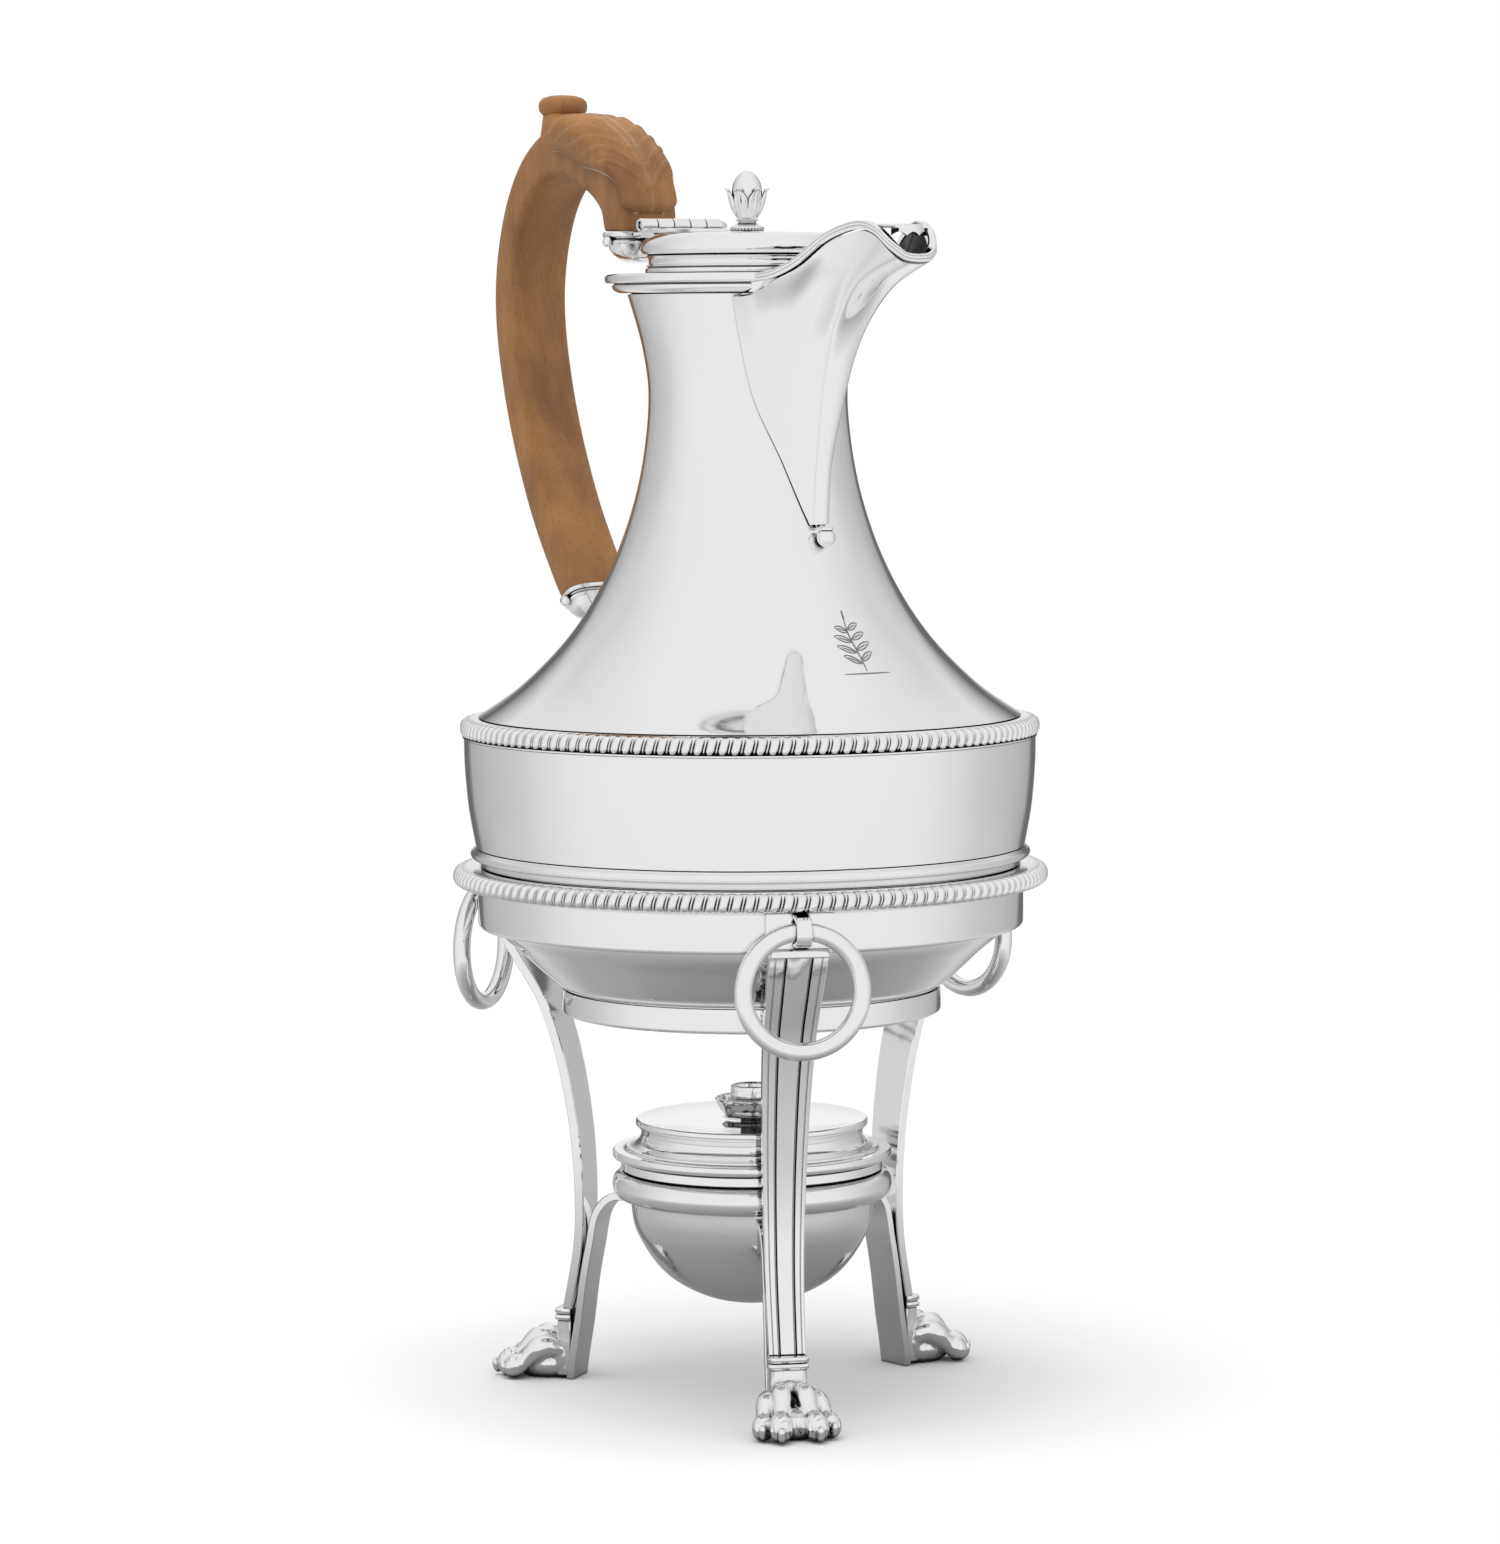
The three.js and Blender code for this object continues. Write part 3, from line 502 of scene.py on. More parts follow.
@dataclass(frozen=True)
class Boxwood:
    """Boxwood, carved and oiled: a warm, close-grained yellow-brown with darker streaks along the grain,
    fine dark pores and a dull sheen where hands have rubbed it."""

    name: str = "boxwood_oiled"
    light: str = "#AC7A45"
    dark: str = "#80532B"
    pore: str = "#6B431F"
    polish: str = "#D6CFBE"
    grain: float = 2.2  # mm between streaks

    def build(self) -> bpy.types.Material:
        """Makes the material."""
        material, tree, shader = new_material(self.name)
        place = add_node(tree, "ShaderNodeTexCoord").outputs["Object"]
        along = add_node(tree, "ShaderNodeMapping", {"Vector": place, "Scale": (1.0, 1.0, 0.16)})
        streak = add_node(tree, "ShaderNodeTexNoise", {
            "Vector": along.outputs[0], "Scale": 1 / (self.grain * 4 * MM), "Detail": 6.0, "Roughness": 0.62})
        cloud = add_node(tree, "ShaderNodeTexNoise", {"Vector": place, "Scale": 1 / (22 * MM), "Detail": 2.0})
        blend = add_node(tree, "ShaderNodeMath", {0: streak.outputs[0], 1: cloud.outputs[0]}, operation="ADD")
        share = add_node(tree, "ShaderNodeMapRange", {"Value": blend.outputs[0], "From Min": 0.72, "From Max": 1.28})
        tone = add_node(tree, "ShaderNodeMix", {
            0: share.outputs[0], 6: linear(self.dark), 7: linear(self.light)}, data_type="RGBA")
        # Boxwood's pores are too fine to see and are drawn 0.4 mm wide.
        speck = add_node(tree, "ShaderNodeTexNoise", {
            "Vector": along.outputs[0], "Scale": 1 / (0.7 * MM), "Detail": 2.0, "Roughness": 0.8})
        pores = add_node(tree, "ShaderNodeMapRange", {
            "Value": speck.outputs[0], "From Min": 0.56, "From Max": 0.72, "To Min": 0.0, "To Max": 0.55})
        worn = add_node(tree, "ShaderNodeMix", {
            0: pores.outputs[0], 6: tone.outputs[2], 7: linear(self.pore)}, data_type="RGBA")
        # Dried polish stays pale in the carved lines.
        residue = add_node(tree, "ShaderNodeAttribute", attribute_name="residue")
        worn = add_node(tree, "ShaderNodeMix", {
            0: residue.outputs["Fac"], 6: worn.outputs[2], 7: linear(self.polish)}, data_type="RGBA")
        gloss = add_node(tree, "ShaderNodeMapRange", {
            "Value": cloud.outputs[0], "From Min": 0.3, "From Max": 0.7, "To Min": 0.42, "To Max": 0.6})
        bump = add_node(tree, "ShaderNodeBump", {
            "Height": speck.outputs[0], "Strength": 0.6, "Distance": 0.06 * MM})
        plug(tree, shader, {
            "Base Color": worn.outputs[2], "Roughness": gloss.outputs[0], "Normal": bump.outputs[0], "IOR": 1.5})
        return material


@dataclass(frozen=True)
class Cotton:
    """Braided cotton wick, scorched brown at its tip: dull, fibrous and off-white."""

    name: str = "cotton_wick"
    clean: str = "#D9D0BA"
    scorched: str = "#2B221B"
    strand: float = 0.5  # mm

    def build(self) -> bpy.types.Material:
        """Makes the material."""
        material, tree, shader = new_material(self.name)
        place = add_node(tree, "ShaderNodeTexCoord").outputs["Object"]
        braid = add_node(tree, "ShaderNodeTexWave", {
            "Vector": place, "Scale": 1 / (self.strand * 6 * MM), "Distortion": 3.0}, bands_direction="DIAGONAL")
        height = add_node(tree, "ShaderNodeSeparateXYZ", {0: place})
        burnt = add_node(tree, "ShaderNodeMapRange", {
            "Value": height.outputs["Z"], "From Min": 0.072, "From Max": 0.0755})
        tone = add_node(tree, "ShaderNodeMix", {
            0: burnt.outputs[0], 6: linear(self.clean), 7: linear(self.scorched)}, data_type="RGBA")
        bump = add_node(tree, "ShaderNodeBump", {"Height": braid.outputs[1], "Distance": 0.1 * MM})
        plug(tree, shader, {"Base Color": tone.outputs[2], "Normal": bump.outputs[0], "Roughness": 0.95})
        return material


class Finish(Enum):
    """The finishes of the object, each with its slot in the record."""

    SHEET = (Silver("sterling_silver_sheet"), "polished_silver")
    WROUGHT = (Silver("sterling_silver_wire", wave=0.008, wave_length=7, roughness=(0.06, 0.12)), "polished_silver")
    CAST = (Silver("sterling_silver_cast", roughness=(0.12, 0.22), wave=0.03, wave_length=2.5, reach=2.2,
                   patina_and_shade_share=0.97), "cast_silver")
    ENGRAVED = (Silver("sterling_silver_engraved", colour="#8E8D8B", roughness=(0.3, 0.4)), "polished_silver")
    WOOD = (Boxwood(), "boxwood")
    WICK = (Cotton(), "cotton_wick")

    def material(self) -> bpy.types.Material:
        """Returns the finish's material, made on first use."""
        maker = self.value[0]
        return bpy.data.materials.get(maker.name) or maker.build()


def settle(piece: Maker, body: str, finish: Finish, *nodes: str) -> Maker:
    """Gives a piece its finish and body, and hides the frame's nodes that it stands for.

    Args:
        piece: The finished piece.
        body: The moving body that it belongs to.
        finish: Its finish.
        nodes: The frame's nodes that it replaces.

    Returns:
        The piece.
    """
    piece.data.materials.clear()
    piece.data.materials.append(finish.material())
    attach(piece, body)
    if nodes:
        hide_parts(*nodes)
    LOG.info("%s rides on %s, %d faces", piece.name, body, len(piece.data.polygons))
    return piece


def mark(piece: Maker, layer_name: str, amount: Callable[[bpy.types.MeshVertex], float]) -> Maker:
    """Marks a piece's vertices for its material to read, as with the painted shadow in the spout or dried polish.

    Args:
        piece: The piece.
        layer_name: The attribute that the material reads.
        amount: Says how much of it a vertex has, 0 to 1.

    Returns:
        The piece.
    """
    layer = piece.data.attributes.new(layer_name, "FLOAT", "POINT")
    for vertex in piece.data.vertices:
        layer.data[vertex.index].value = float(amount(vertex))
    return piece


def settle_each(body: str, *rows: tuple[Callable[[], Maker], Finish, str]) -> None:
    """Makes pieces in turn, each with its finish and the frame's node that it replaces, all on one body."""
    for make, finish, node in rows:
        settle(make(), body, finish, node)


# ---------------------------------------------------------------- gadroon edging


@dataclass
class Gadroon:
    """A cast edging of leaning lobes, each a broad swelling and a narrow fillet between two grooves."""

    name: str
    profile: list[Pair]  # the ring's section, outer face first, as (radius, height)
    outer: int  # how many of the profile's points carry the lobes
    lobes: int = 150
    steps: int = 12
    swell: tuple[float, ...] = (-0.5, 0.0, 0.22, 0.34, 0.4, 0.4, 0.34, 0.22, 0.0, -0.5, -0.08, -0.08, -0.5)
    lean: float = -0.25  # share of a lobe that its top leans by

    def build(self) -> Maker:
        """Spins one lobe from the section, swells it, and copies it round the ring."""
        pitch = 2 * math.pi / self.lobes
        draw_line([at(r, 0, z) for r, z in self.profile], True)
        bpy.ops.mesh.spin(steps=self.steps, angle=pitch, center=AXIS, axis=(0, 0, 1))
        self.swell_lobe(pitch)
        bpy.ops.mesh.select_all(action="SELECT")
        bpy.ops.mesh.spin(
            steps=self.lobes - 1, angle=pitch * (self.lobes - 1), dupli=True, center=AXIS, axis=(0, 0, 1))
        mend_shell()
        return smooth(name_piece(self.name), 50)

    def swell_lobe(self, pitch: float) -> None:
        """Moves each row of the lobe out from the section's middle.

        Args:
            pitch: The lobe's angle in radians.
        """
        lobe = bpy.context.object.data
        mesh = bmesh.from_edit_mesh(lobe)
        faces = self.profile[:self.outer]
        middle_r = sum(r for r, _ in faces) / self.outer - 1.6
        middle_z = sum(z for _, z in faces) / self.outer
        for vertex in mesh.verts:
            place = in_mm(vertex.co)
            radius = math.hypot(place.x, place.y)
            column = round(abs(math.atan2(place.y, place.x)) / pitch * self.steps)
            nearest = min(range(len(self.profile)), key=lambda i: math.dist(self.profile[i], (radius, place.z)))
            if not 0 < nearest < self.outer - 1:
                continue
            end = min(nearest, self.outer - 1 - nearest)
            push = self.swell[column] * (0.55 if end == 1 else 1.0)
            away = Vector((radius - middle_r, place.z - middle_z)).normalized() * push
            share = (radius + away.x) / radius
            vertex.co = at(place.x * share, place.y * share, place.z + away.y)
        low = min(z for _, z in faces)
        high = max(z for _, z in faces)
        for vertex in mesh.verts:
            place = in_mm(vertex.co)
            turned = Matrix.Rotation(-self.lean * pitch * ramp(place.z, low, high), 3, "Z") @ place
            vertex.co = at(*turned)
        bmesh.update_edit_mesh(lobe)


# ---------------------------------------------------------------- engraving


@dataclass
class Sprig:
    """A plain leafy sprig engraved on a curved surface: a stem with pairs of leaves over a short bar."""

    name: str
    surface: Callable[[float, float], tuple[Vector, Vector]]  # place and outward direction at (across, up)

    def build(self) -> Maker:
        """Cuts every line as a fine dark ribbon that lies in the surface."""
        lines = [[(0.25 * math.sin(t * 0.6), -9 + t * 1.55) for t in range(12)], [(-6.5 + k, -9.6) for k in range(14)]]
        for k, (height, reach) in enumerate(((-6, 4.2), (-2.6, 4.8), (0.8, 4.4), (4.0, 3.4))):
            for side in (-1, 1):
                lines += self.leaf(height + 0.4 * side, side * reach, 2.6 - 0.3 * k)
        lines += self.leaf(7.4, 0.3, 3.0)
        return join_pieces([self.ribbon(line) for line in lines], self.name)

    def leaf(self, height: float, reach: float, rise: float) -> list[list[Pair]]:
        """Returns a leaf's two edges and its vein, from the stem to its tip."""
        edges = []
        for belly in (-0.9, 0.0, 0.9):
            edges.append([(reach * t, height + rise * t + belly * abs(math.sin(math.pi * t)) ** 0.8)
                          for t in (k / 9 for k in range(10 if belly else 8))])
        return edges

    def ribbon(self, line: list[Pair]) -> Maker:
        """Returns one cut, thin at both ends."""
        rows = []
        count = len(line) - 1
        for i, (across, up) in enumerate(line):
            before, after = line[max(i - 1, 0)], line[min(i + 1, count)]
            way = Vector((after[0] - before[0], after[1] - before[1])).normalized()
            half = 0.06 + 0.13 * abs(math.sin(math.pi * i / count)) ** 0.5
            rows.append([])
            for lift, reach in ((0.05, -half), (0.05, half), (-0.12, half), (-0.12, -half)):
                place, out = self.surface(across - way.y * reach, up + way.x * reach)
                rows[-1].append(at(*(place + out * lift)))
        return loft("cut_line", rows)


# ---------------------------------------------------------------- jug


@dataclass
class Jug:
    """The jug's body: a waisted neck on a drum, with a foot that drops into the stand."""

    body: str = "jug"
    wall: float = 1.2
    neck_line: list[Pair] = field(default_factory=lambda: [
        (29.3, 270.7), (25.6, 257), (24.4, 243.5), (27.1, 224), (33.4, 205.3), (43, 189), (55.3, 176), (66.6, 168)])
    drum_line: list[Pair] = field(default_factory=lambda: [
        (70.2, 162.8), (70.1, 157), (69.7, 151), (69.0, 144.5), (67.5, 136.2)])
    bowl_line: list[Pair] = field(default_factory=lambda: [
        (63.5, 119), (61.4, 114.5), (56.6, 110.2), (51, 104.9), (47.4, 102), (43.5, 101.2), (20, 102.6), (0, 103.2)])

    def neck_radius(self, z: float) -> float:
        """Returns the neck's outer radius at a height."""
        run = through(self.neck_line, 60)
        for (r0, z0), (r1, z1) in zip(run, run[1:]):
            if z >= z1:
                return r0 + (r1 - r0) * (z0 - z) / (z0 - z1)
        return run[-1][0]

    def build(self) -> None:
        """Makes and places the body's pieces."""
        settle_each(
            self.body, (self.neck, Finish.SHEET, "jug_neck"), (self.drum, Finish.SHEET, "jug_drum"),
            (self.shoulder, Finish.WROUGHT, "shoulder_gadroon"), (self.drum_moulding, Finish.WROUGHT, "drum_moulding"),
            (self.foot_rim, Finish.SHEET, "foot_rim"), (self.flange, Finish.SHEET, "rim_flange"))
        settle(Sprig("jug_sprig", self.shoulder_place).build(), self.body, Finish.ENGRAVED)

    def shoulder_place(self, across: float, up: float) -> tuple[Vector, Vector]:
        """Returns the shoulder's surface and its outward direction at millimetres across and up the sprig."""
        z = 187.5 + up * 0.72
        radius = self.neck_radius(z)
        below, above = self.neck_radius(z - 1.5), self.neck_radius(z + 1.5)
        angle = across / radius
        flat = Vector((math.cos(angle), math.sin(angle), 0))
        return flat * radius + Vector((0, 0, z)), (flat * 3 + Vector((0, 0, below - above))).normalized()

    def neck(self) -> Maker:
        """Returns the neck, pierced behind the spout."""
        outer = through(self.neck_line, 60)
        inner = []
        for i, (r, z) in enumerate(outer):
            way = heading(self.neck_line, i / 60)
            inner.append((r + way.y * self.wall, z - way.x * self.wall))
        neck = turn("neck_wall", outer + inner[-2::-1], 192)
        for y, z in [(0, 238), (0, 246), (0, 254), (-6, 242), (6, 242), (-6, 250), (6, 250), (-6, 258), (6, 258)]:
            clear_bench()
            bpy.ops.mesh.primitive_cylinder_add(
                vertices=20, radius=1.7 * MM, depth=20 * MM, location=at(25, y, z), rotation=(0, math.pi / 2, 0))
            cut(neck, bpy.context.object)
        return smooth(neck, 30)

    def drum(self) -> Maker:
        """Returns the drum with the plug and the bowl under it, as one raised shell."""
        outer = through(self.drum_line, 16) + [(64.7, 136.2), (63.5, 132.4), (63.5, 126)] + through(self.bowl_line, 40)
        inner = []
        for i, (r, z) in enumerate(outer):
            before, after = outer[max(i - 1, 0)], outer[min(i + 1, len(outer) - 1)]
            way = Vector((after[0] - before[0], after[1] - before[1])).normalized()
            inner.append((max(r + way.y * self.wall, 0), z - way.x * self.wall))
        inner[-1] = (0.0, inner[-1][1])
        inner[0] = (outer[0][0] - self.wall, outer[0][1])
        return turn("drum_wall", outer[::-1] + inner, 192, closes=False)

    def shoulder(self) -> Maker:
        """Returns the gadrooned edging round the shoulder."""
        arc = [(69.0 + 1.75 * math.cos(a), 165.3 + 2.2 * math.sin(a)) for a in (
            -1.35, -1.05, -0.7, -0.3, 0.15, 0.6, 1.0, 1.4)]
        edge = [(68.2, 167.75), (65.9, 167.75), (65.9, 162.95), (70.5, 162.95), (70.6, 163.35)]
        return Gadroon("shoulder_edging", arc + edge, 8).build()

    def drum_moulding(self) -> Maker:
        """Returns the half-round moulding at the drum's foot, over a narrow step."""
        bead = [(67.55 + 1.25 * math.cos(a), 134.4 + 1.15 * math.sin(a)) for a in (
            1.2, 0.9, 0.6, 0.3, 0, -0.3, -0.6, -0.9, -1.2)]
        return turn("drum_bead", [
            (65, 135.95), (67.5, 135.95), (67.6, 135.75), *bead, (66.4, 133.1), (66.4, 131.6), (65, 131.6)], 192,
            bevel=0.08)

    def foot_rim(self) -> Maker:
        """Returns the low foot rim under the bowl."""
        return turn("foot_rim_band", [
            (44.5, 100.9), (46.6, 100.9), (46.75, 98.5), (46.8, 96), (46.7, 95.4), (45.9, 94.9), (44.5, 94.9)], 160,
            bevel=0.12)

    def flange(self) -> Maker:
        """Returns the flange under the lid, open at the sides of the spout."""
        band = turn("rim_band", [
            (23, 273.6), (23, 275.6), (34.2, 275.6), (34.8, 275.1), (34.8, 273.9), (34.4, 273.4), (32.7, 273.35),
            (32.6, 273.1), (33.2, 272.9), (33.0, 272.2), (32.6, 271.6), (31.6, 271), (28, 271), (28, 273.6)], 192,
            bevel=0.1)
        clear_bench()
        bpy.ops.mesh.primitive_cube_add(size=1, location=at(30, 0, 272.5), scale=Vector((40, 35, 15)) * MM)
        space = bpy.context.object
        clear_bench()
        bpy.ops.mesh.primitive_cylinder_add(vertices=160, radius=30.2 * MM, depth=0.04, location=at(0, 0, 272))
        cut(space, bpy.context.object)
        cut(band, space)
        return smooth(band, 30)


# ---------------------------------------------------------------- spout


@dataclass
class Spout:
    """The spout: a beak of sheet silver on the neck, edged with a strap and half covered at its tip."""

    jug: Jug
    body: str = "jug"
    wall: float = 1.0
    rows: int = 44
    columns: int = 40
    lip: list[tuple[float, float, float]] = field(default_factory=lambda: [
        (70.6, 0, 278.3), (70.2, 3.4, 278.8), (68.8, 5.7, 281.2), (64.5, 7.3, 285), (59, 8.7, 286.2),
        (50.3, 11.2, 283.6), (42.4, 14.2, 278.1), (36, 16.6, 275.2), (31, 18, 274.4)])
    nose: list[Pair] = field(default_factory=lambda: [
        (32.2, 215.4), (33.6, 230), (37.8, 245), (42, 256), (48, 264.8), (57, 271.8), (70.5, 276.9)])
    nose_sizes: list[Pair] = field(default_factory=lambda: [
        (2.2, 1.2), (2.2, 1.3), (3.2, 1.7), (4, 2.3), (5, 3.2), (6.3, 4.5), (7, 5)])
    seam: list[Pair] = field(default_factory=lambda: [
        (4.6, 215.2), (15.5, 230), (30.5, 245), (37.5, 258), (41, 269.8)])
    fold: float = 0.3  # share of each side that the rounded nose takes

    def build(self) -> None:
        """Makes and places the spout's pieces."""
        settle_each(
            self.body, (self.beak, Finish.SHEET, "spout"), (self.strap, Finish.WROUGHT, "spout_lip"),
            (self.hood, Finish.SHEET, "spout_hood"), (self.drop, Finish.WROUGHT, "spout_drop"))

    def lip_frame(self, t: float) -> tuple[Vector, Vector, Vector, Vector]:
        """Returns the strap's middle, its direction, its upward and its sideways direction, in millimetres."""
        along = heading(self.lip, t)
        across = along.cross(Vector((0, 0, 1))).normalized()
        up = across.cross(along).normalized()
        return Vector(on_curve(self.lip, t)), along, up, along.cross(up).normalized()

    def wall_edge(self) -> list[tuple[float, ...]]:
        """Returns the upper edge of the wall: under the strap, then back under the flange."""
        under = [self.lip_frame(i / 8) for i in range(8)]
        return [tuple(middle - up * 1.45) for middle, _, up, _ in under] + [(29.2, 18.4, 270.4), (22.4, 19.4, 269.8)]

    def level(self, across: float, up: float) -> Vector:
        """Returns a place on the plain beak: across 0 at the nose to 1 at the neck, up 0 at the drop to 1."""
        nose, (degrees, height) = on_curve(self.nose, up), on_curve(self.seam, up)
        angle = math.radians(degrees)
        radius = self.jug.neck_radius(height) + 0.4
        end = Vector((radius * math.cos(angle), radius * math.sin(angle), height))
        half, deep = on_curve(self.nose_sizes, up)
        if across <= self.fold:
            turn_ = across / self.fold * math.pi / 2
            return Vector((nose[0] - deep * (1 - math.cos(turn_)), half * math.sin(turn_), nose[1]))
        side = (across - self.fold) / (1 - self.fold)
        start = Vector((nose[0] - deep - 0.25, half - 0.05, nose[1]))
        flat = start.lerp(end, side)
        flat.y += 0.07 * max(end.y - half, 0) * math.sin(math.pi * side)
        return flat

    def place(self, across: float, up: float, edge: Sequence[Sequence[float]]) -> Vector:
        """Returns a place on the beak, whose upper levels bend into the rising edge."""
        share = max((up - 0.6) / 0.4, 0) ** 2
        bend = Vector(on_curve(edge, across)) - self.level(across, 1)
        return self.level(across, up) + bend * share

    def beak(self) -> Maker:
        """Returns the beak's wall."""
        edge = self.wall_edge()
        rows = []
        for i in range(self.rows + 1):
            half = [self.place(j / self.columns, i / self.rows, edge) for j in range(self.columns + 1)]
            rows.append([at(p.x, -p.y, p.z) for p in half[:0:-1]] + [at(*p) for p in half])
        beak = sheet("spout_beak", rows)
        skin = len(beak.data.vertices)
        apply_modifier(beak, "SOLIDIFY", thickness=self.wall * MM, offset=-1.0, use_even_offset=True)
        # The inner skin from x = 45 mm to the tip is painted near black as shadow.
        mark(beak, "painted_shadow", lambda vertex: vertex.index >= skin and in_mm(vertex.co).x > 45)
        bpy.ops.object.mode_set(mode="EDIT")
        mend_shell()
        bpy.ops.object.mode_set(mode="OBJECT")
        return smooth(beak, 50)

    def strap(self) -> Maker:
        """Returns the strap along the lip, with two fine lines drawn along its outer face."""
        section = [(-1, -0.7), (-0.7, -1), (0.7, -1), (0.98, -0.75), (1, -0.35), (0.86, -0.25), (0.86, -0.12),
                   (1, -0.02), (1, 0.4), (0.88, 0.48), (0.88, 0.6), (0.98, 0.68), (0.7, 1), (-0.7, 1), (-1, 0.7)]
        loops = []
        steps = 72
        for j in range(-steps, steps + 1):
            middle, _, up, across = self.lip_frame(abs(j) / steps)
            side = -1 if j < 0 else 1
            outward = across if across.y > 0 or across.x > 0.2 else -across
            loop = [middle + outward * a + up * b for a, b in section]
            loops.append([at(p.x, side * p.y, p.z) for p in loop])
        return loft("spout_strap", loops, angle=38)

    def hood(self) -> Maker:
        """Returns the plate over the tip, with a scalloped edge in front."""
        loops = []
        outline = [(53.5, 8.9), (56, 8.6), (59, 8.2), (62, 7.5), (64.5, 6.8), (66.8, 5.9), (68.6, 4.7)]
        for x, half in through(outline, 16):
            top = 286.5 - 0.02 * (x - 57.6)
            loops.append([at(x, y, z) for y, z in [
                (-half, top - 0.9), (-half, top - 0.25), (-half + 0.3, top), (half - 0.3, top), (half, top - 0.25),
                (half, top - 0.9)]])
        plate = loft("hood_plate", loops)
        apron = self.apron()
        hood = join_pieces([plate, apron], "spout_hood_plate")
        # The hood's underside is painted near black as shadow.
        return mark(hood, "painted_shadow", lambda vertex: in_mm(vertex.co).z < 285.75 and in_mm(vertex.co).x < 68.4)

    def apron(self) -> Maker:
        """Returns the hood's front edge, cut in three scallops."""
        half, count = 5.0, 48
        rows = []
        for share in (0.0, 0.5, 1.0):
            row = []
            for i in range(count + 1):
                y = half * (2 * i / count - 1)
                low = 283.6 + 0.9 * abs(math.sin(math.pi * 1.5 * (y / half + 1)))
                row.append(at(68.7 - 0.3 * y * y / half, y, low + (286.2 - low) * share))
            rows.append(row)
        apron = sheet("hood_apron", rows)
        apply_modifier(apron, "SOLIDIFY", thickness=0.9 * MM, offset=0.0)
        bpy.ops.object.mode_set(mode="EDIT")
        mend_shell()
        return smooth(name_piece("hood_apron"), 40)

    def drop(self) -> Maker:
        """Returns the ball under the nose, with its collar."""
        z = 212.3
        x = self.jug.neck_radius(z) + 2.6
        bead = ball(at(x, 0, z), (2.3, 2.3, 2.3), 32)
        collar = loft("drop_collar", [
            [at(x + 0.35 + u * (1.55 - k), v * (1.75 - k), 214.0 + h) for u, v in rounded_section(1, 1, 1, 24)]
            for h, k in ((0, 0.5), (0.15, 0.1), (0.45, 0), (0.75, 0.1), (0.9, 0.5))])
        return smooth(join_pieces([bead, collar], "spout_ball"), 40)


# ---------------------------------------------------------------- lid


